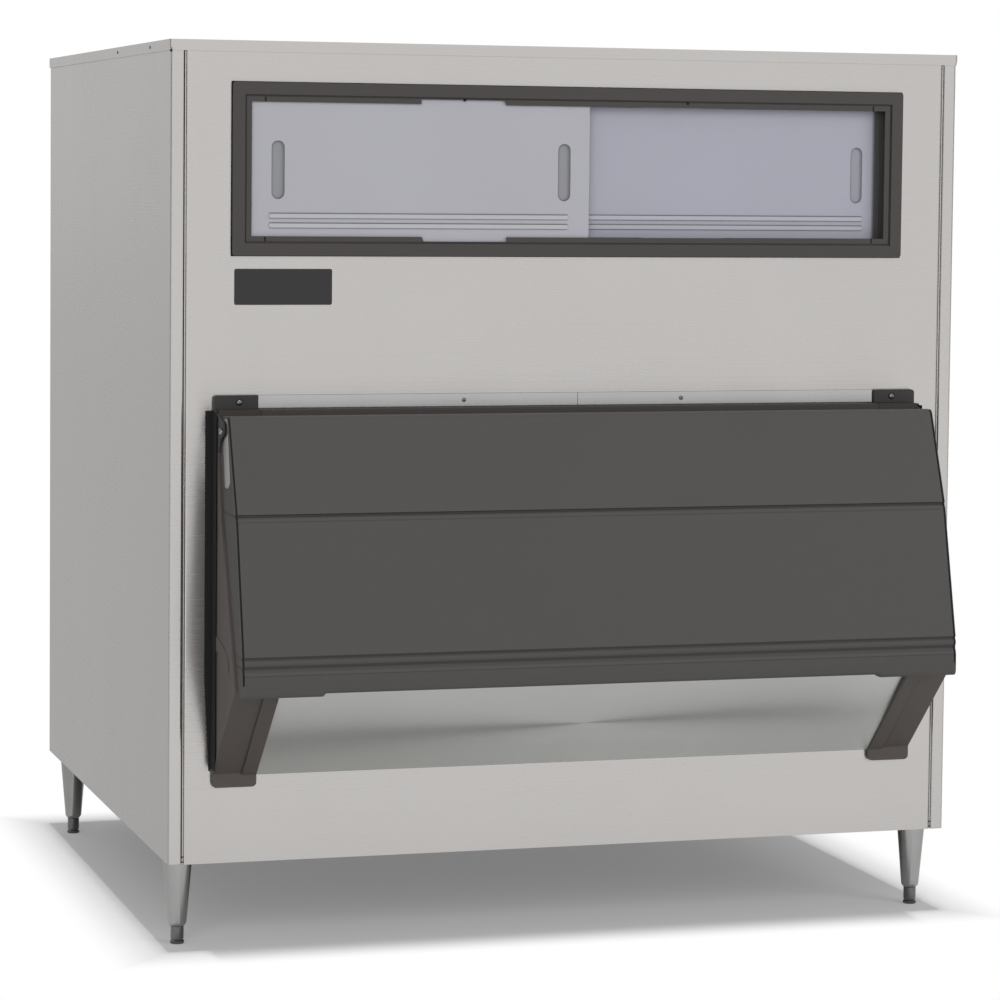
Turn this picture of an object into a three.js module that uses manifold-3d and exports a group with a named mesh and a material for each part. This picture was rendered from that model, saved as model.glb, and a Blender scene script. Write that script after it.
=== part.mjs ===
// An upright ice storage bin: a folded steel cabinet on four legs round an insulated plastic liner,
// with two sliding panels high in its front and a lift-up door on a snout low in its front.
// Millimetres, +Z up, +X to the right along the front, the front faces -Y.
// Origin: on the floor, in the middle of the whole bin's width and depth.

import * as THREE from "three";
import { mergeVertices } from "three/addons/utils/BufferGeometryUtils.js";
import Module from "manifold-3d";

const wasm = await Module();
wasm.setup();

// Driving dimensions. Heights are above the cabinet's bottom edge, and "out" is forward of the front panel.

// Cabinet of folded sheet
const cabinetWidth = 1524;
const cabinetDepth = 1296;
const cabinetHeight = 1492;
const skinThickness = 1.2;
const bendRadius = 2.5;
const seatGap = 0.3;
const cutOverrun = 20;
const postWidth = 25;
const seamWidth = 3;
const returnDepth = 14;
const backFlangeWidth = 25;

// Cap that frames the open top
const capHeight = 20;
const capThickness = 2;
const capRimWidth = 62;
const capCornerRadius = 4;
const capCornerNotch = 5;
const rivetRadius = 3;
const rivetHeight = 1.2;
const rivetShankRadius = 1.6;
const rivetShankLength = 4;
const rivetFrontPlace = 184;
const rivetPitch = 321;

// Base tray, leg plates, legs and feet
const baseRise = 8;
const baseFlangeHeight = 20;
const legPlateThickness = 6;
const legPlateLength = 90;
const legSideGap = 4.8;
const legInsetFront = 75;
const legInsetBack = 115;
const legTopRadius = 27;
const legEndRadius = 16.5;
const legTipRadius = 13.5;
const legChamfer = 5;
const legBodyLength = 127;
const legStudRadius = 6;
const legStudLength = 12;
const footRadius = 12;
const footPadRadius = 12.8;
const footPadHeight = 6;
const footLength = 33;
const footStemRadius = 8;
const footStemLength = 60;
const stemClearance = 0.4;

// Plastic liner and the foam round it
const foamThickness = 48;
const linerWall = 4;
const linerCornerRadius = 40;
const linerFloorBack = 60;
const linerFloorRise = 32;

// Window frame with two tracks
const windowSideMargin = 112;
const windowHeightShare = 0.4886;
const windowCentreShare = 0.6393;
const windowFlange = 22;
const windowFlangeThickness = 9;
const windowCornerRadius = 5;
const windowNeckInset = 13;
const windowNeckWall = 4;
const windowLipReach = 18;
const windowLipThickness = 3;
const windowLipSetback = 3;
const windowGrooveWidth = 3.5;
const windowGrooveDepth = 1.6;
const trackDepth = 20;
const liftNotchWidth = 165;
const liftNotchDepth = 8.5;
const liftNotchSlant = 6;
const liftNotchPlace = 216.5;

// Sliding panels
const panelThickness = 3;
const panelRimWidth = 4;
const panelSetback = 2.3;
const panelMeetingLap = 26;
const panelSideClearance = 0.5;
const panelHeadroom = 6;
const panelRibHeight = 1.5;
const panelRibWidth = 9;
const panelRibPitch = 17.5;
const panelRibDropShare = 0.3254;
const panelRibInset = 51;
const panelRibInsetMeeting = 41;
const gripWidth = 24.5;
const gripHeightShare = 0.3397;
const gripDepth = 6;
const gripWall = 1.5;
const gripDropShare = 0.0038;
const gripInsetLeft = 67.5;
const gripInsetRight = 63.5;
const gripInsetMeeting = 48.5;

// Name plate, left bare
const badgeWidth = 181;
const badgeHeightShare = 0.1018;
const badgeThickness = 2.4;
const badgeCornerRadius = 9;
const badgeLeftInset = 117.5;
const badgeLowShare = 0.2554;

// Snout: the raised surround that carries the door
const snoutSideMargin = 79;
const cheekThickness = 82;
const cheekWall = 4;
const closingGap = 3;
const trimHeight = 24.5;
const trimRise = 35;
const trimThickness = 2.2;
const trimSplitPlace = 8;
const trimSplitGap = 1.2;
const trimEdgeRadius = 1;
const bracketThickness = 9;
const bracketCornerRadius = 6;
const earThickness = 3.6;
const earClearance = 0.7;
const earDrop = 39;
const earRootSetback = 26;
const earThroatSetback = 18;
const earThroatDrop = 19;
const earShoulderSetback = 31;
const earShoulderRise = 23;
const earNoseRadius = 13.5;
const earNoseRise = 4;
const earNoseSetback = 1;
const sealTopDrop = 22;
const recessSetback = 11;
const recessDrop = 4;
const snoutTopSetback = 20;
const headerHeight = 76;
const headerWall = 3;
const armFootOut = 11;
const armFootRise = 6;
const armFootHeight = 26;
const armFootCorner = 8;
const sillHeight = 160;
const armNoseRise = 2.5;
const armBandWidth = 28;
const armBandHeight = 3;
const armBandStartShare = 0.04;
const swooshHeight = 27;
const swooshDropShare = 0.8207;
const swooshDrop = 24;
const swooshBulge = 9;
const swooshStartOut = 10;
const swooshEndOut = 138;
const swooshProud = 1.4;
const swooshShift = 11;

// Apron under the door and the chute behind it
const apronThickness = 1.5;
const apronHem = 16;
const apronRecess = 10;
const apronBend = 1;
const chuteWall = 4;
const chuteBackShare = 0.3564;
const chuteLipRise = 5.5;
const chuteLipHeight = 17;
const snoutSideClearance = 0.5;

// Door
const pivotOut = 78;
const pivotHeight = 794;
const doorTopRadius = 27;
const doorDepth = 157;
const doorHeight = 454.5;
const doorTopCornerRadius = 12;
const doorGrooveDepth = 2.5;
const doorCreaseDepth = 2.4;
const doorCreaseRise = 3;
const doorCreaseFall = 9;
const doorSeamInset = 1;
const doorSeamWidth = 3;
const doorSeamDepth = 2.5;
const doorBeadProud = 1.5;
const doorBottomRadius = 20;
const doorBottomFlat = 2.5;
const doorWall = 4.5;
const doorLinerDrop = 14;
const doorLinerRise = 13.5;
const doorPadDrop = 5.5;
const doorPadWidth = 147.7;
const doorLinerThickness = 3;
const gasketWidth = 14;
const gasketInset = 24;
const gasketDrop = 24;
const gasketRise = 9.5;
const hingePlateThickness = 2;
const hingePlateWidth = 42;
const hingePlateDrop = 100;
const hingePlateRise = 23;
const hingePlateBehind = 14;
const hingePlateAhead = 31;
const hingePlateCorner = 6;

// Points of the door's outline, as shares of its depth out from the pivot and of its height down from it
const rearStartDropShare = 0.1078;
const rearCreaseShares = [0, 0.3476];
const rearEndShares = [0.7452, 0.9637];
const topCornerOutShare = 0.1592;
const creaseShares = [0.5987, 0.3168];
const beadStartShares = [0.9745, 0.8493];
const beadHighDropShare = 0.8581;
const beadMiddleDropShare = 0.8757;
const grooveDropShare = 0.8999;
const lowBeadDropShare = 0.9241;

// Hinge pins and screws
const pinRadius = 4;
const pinDepth = 14;
const pinHeadRadius = 6;
const pinHeadHeight = 4.4;
const pinSocketRadius = 2.4;
const pinSocketDepth = 2;
const screwShankRadius = 2;
const screwHeadRadius = 4.2;
const screwHeadHeight = 2.6;
const screwLength = 12;
const stripScrewPlace = 212;
const bracketScrewInset = 47;

// Drain at the foot of the back
const drainOuterRadius = 20;
const drainBoreRadius = 13;
const drainReach = 26;
const drainCollarRadius = 27;
const drainCollarThickness = 4;
const drainNutAcross = 29;
const drainNutThickness = 10;
const strainerMargin = 5;
const strainerFloorGap = 2;
const strainerThickness = 2;
const strainerStandOff = 8;
const strainerHoleRadius = 4;
const strainerHoleRing = 19;
const strainerHoles = 8;

// Counts of facets
const cornerSteps = 3;
const arcSteps = 8;
const roundSteps = 16;
const legSteps = 28;
const pinSteps = 14;

// Places worked out from the sizes above
const halfWidth = cabinetWidth / 2;
const underCap = cabinetHeight - capThickness - seatGap;
const trimLowEdge = pivotHeight + trimRise;
const upperFront = cabinetHeight - trimLowEdge - trimHeight;
const windowWidth = cabinetWidth - 2 * windowSideMargin;
const windowHeight = upperFront * windowHeightShare;
const windowCentreHeight = trimLowEdge + trimHeight + upperFront * windowCentreShare;
const gripHeight = windowHeight * gripHeightShare;
const gripCentreHeight = windowCentreHeight - windowHeight * gripDropShare;
const panelRibLow = windowCentreHeight - windowHeight * panelRibDropShare;
const badgeHeight = upperFront * badgeHeightShare;
const badgeLowEdge = trimLowEdge + trimHeight + upperFront * badgeLowShare;
const windowNeck = rectangleSize(windowWidth, windowHeight, windowNeckInset);
const windowTrack = rectangleSize(windowWidth, windowHeight, windowNeckInset + windowNeckWall);
const windowOpening = {
  halfWidth: windowTrack.halfWidth - windowLipReach,
  halfHeight: windowTrack.halfHeight - windowLipReach,
};
const windowFrontOut = seatGap + windowFlangeThickness;
const lipFrontOut = windowFrontOut - windowLipSetback;
const lipBackOut = lipFrontOut - windowLipThickness;
const trackPitch = trackDepth + windowLipThickness;
const snoutHalfWidth = halfWidth - snoutSideMargin;
const bracketScrewPlace = snoutHalfWidth - bracketScrewInset;
const cheekInner = snoutHalfWidth - cheekThickness;
const snoutTop = trimLowEdge - seatGap;
const headerLowEdge = trimLowEdge - headerHeight;
const earInner = snoutHalfWidth - earThickness;
const doorHalfWidth = earInner - earClearance;
const doorTopHeight = pivotHeight + doorTopRadius;
const doorBottomHeight = pivotHeight - doorHeight;
const doorBackOut = pivotOut - doorTopRadius;
const doorFaceOut = pivotOut + doorDepth;
const doorPadInner = doorHalfWidth - doorPadWidth;
const earLowEdge = pivotHeight - earDrop;
const sealTopHeight = pivotHeight - sealTopDrop;
const armFootTop = sillHeight + armFootRise;
const armNoseHeight = doorBottomHeight + armNoseRise;
const chuteLipLow = doorBottomHeight + chuteLipRise;
const chuteLipHigh = chuteLipLow + chuteLipHeight;
const chuteBackHeight = sillHeight + (chuteLipHigh - sillHeight) * chuteBackShare;
const doorLinerTop = pivotHeight - doorLinerDrop;
const doorLinerLow = doorBottomHeight + doorLinerRise;
const gasketTopHeight = pivotHeight - gasketDrop;
const gasketLowHeight = doorBottomHeight + gasketRise;
const linerFrontPlace = skinThickness + foamThickness;
const linerBackPlace = cabinetDepth - linerFrontPlace;
const linerHalfWidth = halfWidth - linerFrontPlace;
const legInsetSide = skinThickness + legTopRadius + legSideGap;
const strainerRadius = drainCollarRadius + strainerMargin + strainerThickness;
const drainHeight = linerFloorBack + linerWall + strainerRadius + strainerFloorGap;
const drainWallPlace = linerBackPlace - linerWall;
const depthShift = (doorFaceOut - cabinetDepth - drainReach) / 2;
const legLength = legBodyLength + footLength;

// Half sizes of a rectangle drawn in by an inset on every side.
function rectangleSize(width, height, inset) {
  return { halfWidth: width / 2 - inset, halfHeight: height / 2 - inset };
}

// Finishes

function finish(color, roughness, metalness) {
  return new THREE.MeshStandardMaterial({ color, roughness, metalness, flatShading: true });
}

const brushedSteel = (colour = 0xc3c1be) => finish(colour, 0.38, 0.9);
const polishedSteel = () => finish(0xb9bbb9, 0.2, 1);
const doorPlastic = () => finish(0x5a5857, 0.6, 0);
const snoutPlastic = () => finish(0x5c5651, 0.6, 0);
const framePlastic = () => finish(0x4e4b4a, 0.5, 0);
const linerPlastic = () => finish(0xd7dade, 0.55, 0);
const frostedPlastic = () => finish(0xb2b3b8, 0.35, 0);
const blackPlastic = () => finish(0x28262a, 0.45, 0);
const softRubber = () => finish(0x1d1d1e, 0.85, 0);

// Solids

// The solid inside a closed geometry, with shared points merged and flat triangles dropped.
function solidOf(geometry) {
  const bare = geometry.clone();
  bare.deleteAttribute("normal");
  bare.deleteAttribute("uv");
  const merged = mergeVertices(bare);
  const corners = [];
  for (let i = 0; i < merged.index.count; i += 3) {
    const [a, b, c] = [0, 1, 2].map((k) => merged.index.getX(i + k));
    if (a !== b && b !== c && a !== c) corners.push(a, b, c);
  }
  return new wasm.Manifold(
    new wasm.Mesh({
      numProp: 3,
      vertProperties: merged.attributes.position.array,
      triVerts: new Uint32Array(corners),
    }),
  );
}

// A named mesh of a solid.
function pieceOf(name, solid, finish) {
  const { numProp, numVert, vertProperties, triVerts } = solid.getMesh();
  const places = new Float32Array(numVert * 3);
  for (let i = 0; i < numVert; i++) {
    places.set(vertProperties.subarray(i * numProp, i * numProp + 3), i * 3);
  }
  const geometry = new THREE.BufferGeometry();
  geometry.setAttribute("position", new THREE.BufferAttribute(places, 3));
  geometry.setIndex(new THREE.BufferAttribute(new Uint32Array(triVerts), 1));
  geometry.computeVertexNormals();
  const mesh = new THREE.Mesh(geometry, finish);
  mesh.name = name;
  return mesh;
}

const joined = (...solids) => solids.reduce((sum, solid) => sum.add(solid));
const cutBy = (solid, ...tools) => tools.reduce((rest, tool) => rest.subtract(tool), solid);

const xAxis = new THREE.Vector3(1, 0, 0);
const yAxis = new THREE.Vector3(0, 1, 0);
const zAxis = new THREE.Vector3(0, 0, 1);
const turnAlongX = new THREE.Matrix4().makeBasis(yAxis, zAxis, xAxis);
const turnAlongY = new THREE.Matrix4().makeBasis(xAxis, zAxis, yAxis.clone().negate());

function shapeOf(points) {
  return new THREE.Shape(points.map(([u, v]) => new THREE.Vector2(u, v)));
}

function extruded(points, length) {
  return new THREE.ExtrudeGeometry(shapeOf(points), { depth: length, bevelEnabled: false, steps: 1 });
}

// A prism along X from an outline of [out, height] points, where out is forward of the front panel.
function prismAcross(points, left, right) {
  const geometry = extruded(points.map(([out, height]) => [-out, height]), right - left);
  return solidOf(geometry.applyMatrix4(turnAlongX).translate(left, 0, 0));
}

// A prism from an outline seen from the front, in [x, height] points, between two distances out.
function prismOut(points, backOut, frontOut) {
  const geometry = extruded(points, frontOut - backOut);
  return solidOf(geometry.applyMatrix4(turnAlongY).translate(0, -backOut, 0));
}

// A prism upwards from an outline in plan, in [x, y] points.
function prismUp(points, low, high) {
  return solidOf(extruded(points, high - low).translate(0, 0, low));
}

function block(left, right, front, back, low, high) {
  const geometry = new THREE.BoxGeometry(right - left, back - front, high - low);
  return solidOf(geometry.translate((left + right) / 2, (front + back) / 2, (low + high) / 2));
}

// A solid of revolution about a vertical axis from [radius, height] points, counted anticlockwise.
function turned(points, steps) {
  const profile = points.map(([radius, height]) => new THREE.Vector2(radius, height));
  return new THREE.LatheGeometry(profile, steps).rotateX(Math.PI / 2);
}

// Outlines

function rectangle(left, right, low, high) {
  return [
    [left, low],
    [right, low],
    [right, high],
    [left, high],
  ];
}

// The corner at b, between a and c, as an arc that touches both lines.
function roundedCorner(a, b, c, radius, steps) {
  const before = new THREE.Vector2(a[0] - b[0], a[1] - b[1]);
  const after = new THREE.Vector2(c[0] - b[0], c[1] - b[1]);
  const bend = Math.abs(before.angleTo(after));
  const reach = radius / Math.tan(bend / 2);
  const corner = new THREE.Vector2(b[0], b[1]);
  const start = before.clone().setLength(reach).add(corner);
  const end = after.clone().setLength(reach).add(corner);
  const middle = before.clone().normalize().add(after.clone().normalize());
  const centre = middle.setLength(radius / Math.sin(bend / 2)).add(corner);
  const from = start.clone().sub(centre).angle();
  let sweep = end.clone().sub(centre).angle() - from;
  if (sweep > Math.PI) sweep -= 2 * Math.PI;
  if (sweep < -Math.PI) sweep += 2 * Math.PI;
  const arc = [];
  for (let i = 0; i <= steps; i++) {
    const angle = from + (sweep * i) / steps;
    arc.push([centre.x + radius * Math.cos(angle), centre.y + radius * Math.sin(angle)]);
  }
  return arc;
}

// A closed outline whose corners are rounded where their radius isn't zero.
function rounded(points, radii, steps = cornerSteps) {
  return points.flatMap((point, i) => {
    const radius = Array.isArray(radii) ? radii[i] : radii;
    if (!radius) return [point];
    const last = points[(i + points.length - 1) % points.length];
    const next = points[(i + 1) % points.length];
    return roundedCorner(last, point, next, radius, steps);
  });
}

// The point at a distance from one point on the way to another.
function towards(from, to, distance) {
  const length = Math.hypot(to[0] - from[0], to[1] - from[1]);
  return from.map((value, i) => value + ((to[i] - value) * distance) / length);
}

// An open line moved sideways to its left by a distance, with its corners mitred.
function movedLine(points, distance) {
  const normals = points.slice(1).map((point, i) => {
    const along = new THREE.Vector2(point[0] - points[i][0], point[1] - points[i][1]).normalize();
    return new THREE.Vector2(-along.y, along.x);
  });
  return points.map((point, i) => {
    const before = normals[Math.max(i - 1, 0)];
    const after = normals[Math.min(i, normals.length - 1)];
    const mitre = before.clone().add(after).multiplyScalar(distance / (1 + before.dot(after)));
    return [point[0] + mitre.x, point[1] + mitre.y];
  });
}

// A closed outline moved to its left by a distance.
function movedLoop(points, distance) {
  const line = [points[points.length - 1], ...points, points[0]];
  return movedLine(line, distance).slice(1, -1);
}

// A folded sheet's section: an open line of its one face, thickened to its left, with bent corners.
function foldedSheet(line, thickness, radius = bendRadius) {
  const other = movedLine(line, thickness);
  const bend = (points, i, own) => {
    if (i === 0 || i === points.length - 1) return [points[i]];
    const [a, b, c] = [line[i - 1], line[i], line[i + 1]];
    const left = (b[0] - a[0]) * (c[1] - b[1]) - (b[1] - a[1]) * (c[0] - b[0]) > 0;
    const size = left === own ? radius + thickness : radius;
    return roundedCorner(points[i - 1], points[i], points[i + 1], size, cornerSteps);
  };
  const front = line.flatMap((_, i) => bend(line, i, true));
  const back = other.flatMap((_, i) => bend(other, i, false));
  return [...front, ...back.reverse()];
}

function mirrored(points) {
  return points.map(([x, y]) => [-x, y]).reverse();
}

// A ring between two rectangles seen from the front, centred on the window.
function windowRing(outer, inner, backOut, frontOut, radius = 0) {
  const low = windowCentreHeight - outer.halfHeight;
  const high = windowCentreHeight + outer.halfHeight;
  const edge = rectangle(-outer.halfWidth, outer.halfWidth, low, high);
  const whole = prismOut(radius ? rounded(edge, radius) : edge, backOut, frontOut);
  return whole.subtract(windowBlock(inner, backOut - cutOverrun, frontOut + cutOverrun));
}

function windowBlock(size, backOut, frontOut) {
  const low = windowCentreHeight - size.halfHeight;
  const high = windowCentreHeight + size.halfHeight;
  return prismOut(rectangle(-size.halfWidth, size.halfWidth, low, high), backOut, frontOut);
}

function grown(size, distance) {
  return { halfWidth: size.halfWidth + distance, halfHeight: size.halfHeight + distance };
}

// Cabinet skins

// A side panel: one sheet folded round the front post and the back edge.
function sidePanelOutline() {
  const left = -halfWidth;
  return foldedSheet(
    [
      [left + backFlangeWidth, cabinetDepth],
      [left, cabinetDepth],
      [left, 0],
      [left + postWidth, 0],
      [left + postWidth, returnDepth],
    ],
    skinThickness,
  );
}

function sidePanel(side) {
  const outline = side < 0 ? sidePanelOutline() : mirrored(sidePanelOutline());
  const panel = prismUp(outline, 0, underCap);
  return cutBy(panel, ...capRivetHoles(side));
}

// The front panel between the posts, cut out for the window frame and the snout.
function frontPanel() {
  const edge = halfWidth - postWidth - seamWidth;
  const outline = foldedSheet(
    [
      [-edge, returnDepth],
      [-edge, 0],
      [edge, 0],
      [edge, returnDepth],
    ],
    skinThickness,
  );
  const face = prismUp(outline, 0, underCap);
  const hemEdge = edge - bendRadius - skinThickness;
  const hem = block(-hemEdge, hemEdge, skinThickness / 2, returnDepth, 0, skinThickness);
  const windowCut = windowBlock(grown(windowNeck, seatGap), -cutOverrun, cutOverrun);
  const doorCut = prismOut(
    rectangle(-cheekInner, cheekInner, sillHeight, headerLowEdge),
    -cutOverrun,
    cutOverrun,
  );
  return cutBy(joined(face, hem), windowCut, doorCut, ...trimScrewHoles());
}

// The back panel, behind the side panels' back flanges.
function backPanel() {
  const edge = halfWidth - skinThickness - bendRadius - seatGap;
  const back = cabinetDepth - skinThickness - seatGap;
  const panel = block(-edge, edge, back - skinThickness, back, baseRise + skinThickness + seatGap, underCap);
  return panel.subtract(drainHole(drainOuterRadius + seatGap));
}

// The base tray, with its long edges turned up inside the side panels.
function basePanel() {
  const edge = halfWidth - skinThickness - seatGap;
  const outline = foldedSheet(
    [
      [-edge, baseRise + baseFlangeHeight],
      [-edge, baseRise],
      [edge, baseRise],
      [edge, baseRise + baseFlangeHeight],
    ],
    skinThickness,
  );
  const front = -(returnDepth + seatGap);
  const back = -(cabinetDepth - (skinThickness + seatGap) * 2);
  return cutBy(prismOut(outline, back, front), ...legSpots().map(({ x, y }) => studHole(x, y)));
}

// The cap: an angle frame that closes the wall tops and leaves the bin's mouth open.
function topCap() {
  const over = seatGap + capThickness;
  const side = halfWidth + over;
  const front = -over;
  const back = cabinetDepth + over;
  const outline = rounded(rectangle(-side, side, front, back), capCornerRadius);
  const whole = prismUp(outline, cabinetHeight - capHeight, cabinetHeight);
  const inner = block(
    -side + capThickness,
    side - capThickness,
    front + capThickness,
    back - capThickness,
    cabinetHeight - capHeight - cutOverrun,
    cabinetHeight - capThickness,
  );
  const mouthEdge = halfWidth - capRimWidth;
  const mouth = prismUp(
    rounded(
      rectangle(-mouthEdge, mouthEdge, capRimWidth, cabinetDepth - capRimWidth),
      linerCornerRadius,
      arcSteps,
    ),
    cabinetHeight - capHeight,
    cabinetHeight + cutOverrun,
  );
  const notches = [-1, 1].flatMap((sign) => [front, back].map((y) => capNotch(sign * side, y)));
  const holes = [-1, 1].flatMap(capRivetHoles);
  return cutBy(whole, inner, mouth, ...notches, ...holes);
}

// The small open corner where two of the cap's skirts meet.
function capNotch(x, y) {
  const low = cabinetHeight - capHeight;
  return block(
    x - capCornerNotch,
    x + capCornerNotch,
    y - capCornerNotch,
    y + capCornerNotch,
    low - cutOverrun,
    low + capCornerNotch,
  );
}

// Two rivets on each side of the cap, near the front.
function rivetPlaces() {
  return [rivetFrontPlace, rivetFrontPlace + rivetPitch];
}

function capRivetHoles(side) {
  const holeRadius = rivetShankRadius + seatGap;
  return rivetPlaces().map((y) => {
    const hole = new THREE.CylinderGeometry(holeRadius, holeRadius, cutOverrun, pinSteps);
    const x = side * halfWidth;
    return solidOf(hole.rotateZ(Math.PI / 2).translate(x, y, cabinetHeight - capHeight / 2));
  });
}

function capRivet(side, y) {
  const seat = halfWidth + seatGap + capThickness + seatGap;
  const rivet = turned(
    [
      [0, -rivetShankLength],
      [rivetShankRadius, -rivetShankLength],
      [rivetShankRadius, 0],
      [rivetRadius, 0],
      [rivetRadius * Math.cos(Math.PI / 4), rivetHeight * Math.sin(Math.PI / 4)],
      [0, rivetHeight],
    ],
    pinSteps,
  );
  const place = rivet.rotateY((side * Math.PI) / 2).translate(side * seat, y, cabinetHeight - capHeight / 2);
  return solidOf(place);
}

// Legs

function legSpots() {
  const side = halfWidth - legInsetSide;
  return [
    { name: "front_left", x: -side, y: legInsetFront },
    { name: "front_right", x: side, y: legInsetFront },
    { name: "back_left", x: -side, y: cabinetDepth - legInsetBack },
    { name: "back_right", x: side, y: cabinetDepth - legInsetBack },
  ];
}

const legPlateTop = baseRise - seatGap;
const legPlateBottom = legPlateTop - legPlateThickness;
const legTop = legPlateBottom - seatGap;

function studHole(x, y) {
  const radius = legStudRadius + seatGap;
  const hole = new THREE.CylinderGeometry(radius, radius, cutOverrun * 2, roundSteps);
  return solidOf(hole.rotateX(Math.PI / 2).translate(x, y, baseRise));
}

function legPlate({ x, y }) {
  const plate = block(
    x - legTopRadius,
    x + legTopRadius,
    y - legPlateLength / 2,
    y + legPlateLength / 2,
    legPlateBottom,
    legPlateTop,
  );
  return plate.subtract(studHole(x, y));
}

// A tapered leg with a stud on top and a bore for the foot's stem.
function leg({ x, y }) {
  const bore = footStemRadius + stemClearance;
  const boreTop = footStemLength + seatGap - legBodyLength;
  const profile = [
    [0, boreTop],
    [bore, boreTop],
    [bore, -legBodyLength],
    [legTipRadius, -legBodyLength],
    [legEndRadius, legChamfer - legBodyLength],
    [legTopRadius, legTop - legChamfer],
    [legTopRadius, legTop],
    [legStudRadius, legTop],
    [legStudRadius, legTop + legStudLength],
    [0, legTop + legStudLength],
  ];
  return solidOf(turned(profile, legSteps).translate(x, y, 0));
}

// A screw foot: a round stem in the leg's bore and a body that turns by hand.
function foot({ x, y }) {
  const top = -legBodyLength - seatGap;
  const bottom = -legLength;
  const profile = [
    [0, bottom],
    [footPadRadius, bottom],
    [footPadRadius, bottom + footPadHeight],
    [footRadius, bottom + footPadHeight],
    [footRadius, top],
    [footStemRadius, top],
    [footStemRadius, top + footStemLength],
    [0, top + footStemLength],
  ];
  return solidOf(turned(profile, legSteps).translate(x, y, 0));
}

// Liner

// The liner's side section: an upright box whose floor falls towards the back.
function linerSection(inset, high) {
  const front = linerFrontPlace + inset;
  const back = linerBackPlace - inset;
  return [
    [-front, linerFloorBack + linerFloorRise + inset],
    [-back, linerFloorBack + inset],
    [-back, high],
    [-front, high],
  ];
}

function linerBody(inset, high) {
  const side = linerHalfWidth - inset;
  const front = linerFrontPlace + inset;
  const back = linerBackPlace - inset;
  const plan = rounded(rectangle(-side, side, front, back), linerCornerRadius - inset, arcSteps);
  const low = linerFloorBack - cutOverrun;
  return prismAcross(linerSection(inset, high), -side, side).intersect(prismUp(plan, low, high));
}

// The two necks that join the liner's front wall to the window frame and the snout.
function windowNeckSleeve(wall) {
  return windowBlock(
    grown(windowNeck, seatGap + wall),
    -(linerFrontPlace + linerWall),
    -(skinThickness + seatGap),
  );
}

function doorNeckSleeve(wall) {
  const edge = rectangle(
    -cheekInner - wall,
    cheekInner + wall,
    chuteBackHeight - chuteWall - seatGap - wall,
    headerLowEdge + wall,
  );
  return prismOut(edge, -(linerFrontPlace + linerWall), -(skinThickness + seatGap));
}

function binLiner() {
  const top = underCap - linerWall;
  const flangeSide = halfWidth - skinThickness - seatGap * 2;
  const flangeBack = cabinetDepth - skinThickness * 2 - seatGap * 2;
  const flange = block(-flangeSide, flangeSide, returnDepth + seatGap, flangeBack, top, underCap - seatGap);
  const shell = joined(linerBody(0, top), flange, windowNeckSleeve(linerWall), doorNeckSleeve(linerWall));
  const through = -(linerFrontPlace + linerWall + cutOverrun);
  const windowWay = windowBlock(grown(windowNeck, seatGap), through, cutOverrun);
  const doorWay = prismOut(
    rectangle(-cheekInner, cheekInner, chuteBackHeight - chuteWall - seatGap, headerLowEdge),
    through,
    cutOverrun,
  );
  const drain = drainHole(drainOuterRadius + seatGap);
  return cutBy(shell, linerBody(linerWall, cabinetHeight + cutOverrun), windowWay, doorWay, drain);
}

// Window frame: a flange over the panel's cut edge and three lips that make two tracks.
function windowFrame() {
  const flangeOuter = rectangleSize(windowWidth, windowHeight, 0);
  const flangeInner = rectangleSize(windowWidth, windowHeight, windowFlange);
  const backOut = lipBackOut - 2 * trackPitch;
  const flange = windowRing(flangeOuter, flangeInner, lipBackOut, windowFrontOut, windowCornerRadius);
  const flangeBase = windowRing(flangeOuter, windowTrack, seatGap, lipBackOut, windowCornerRadius);
  const neck = windowRing(windowNeck, windowTrack, backOut, lipFrontOut);
  const lips = [0, 1, 2].map((track) => {
    const back = lipBackOut - track * trackPitch;
    return windowRing(windowNeck, windowOpening, back, back + windowLipThickness);
  });
  const groove = windowRing(
    flangeInner,
    grown(flangeInner, -windowGrooveWidth),
    lipFrontOut - windowGrooveDepth,
    lipFrontOut + windowLipSetback,
  );
  const frontNotches = [1, -1].map((up) => liftNotch(-liftNotchPlace, up, lipBackOut));
  const backNotches = [1, -1].map((up) => liftNotch(liftNotchPlace, up, lipBackOut - trackPitch));
  return cutBy(joined(flange, flangeBase, neck, ...lips), groove, ...frontNotches, ...backNotches);
}

// A gap in a lip, above and below, through which a panel lifts out of its track.
function liftNotch(centre, up, backOut) {
  const edge = windowCentreHeight + up * windowOpening.halfHeight;
  const half = liftNotchWidth / 2;
  const slantSide = up;
  const outline = [
    [centre - half, edge - up * liftNotchSlant],
    [centre + half, edge - up * liftNotchSlant],
    [centre + half - Math.max(slantSide, 0) * liftNotchSlant, edge + up * liftNotchDepth],
    [centre - half - Math.min(slantSide, 0) * liftNotchSlant, edge + up * liftNotchDepth],
  ];
  return prismOut(outline, backOut - seatGap, backOut + windowLipThickness + seatGap);
}

// Sliding panels

// An upright slot outline with round ends.
function slotOutline(centreX, centreHeight, width, height) {
  const left = centreX - width / 2;
  const low = centreHeight - height / 2;
  const corner = Math.min(width, height) / 2 - seatGap;
  return rounded(rectangle(left, left + width, low, low + height), corner, arcSteps / 2);
}

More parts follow.
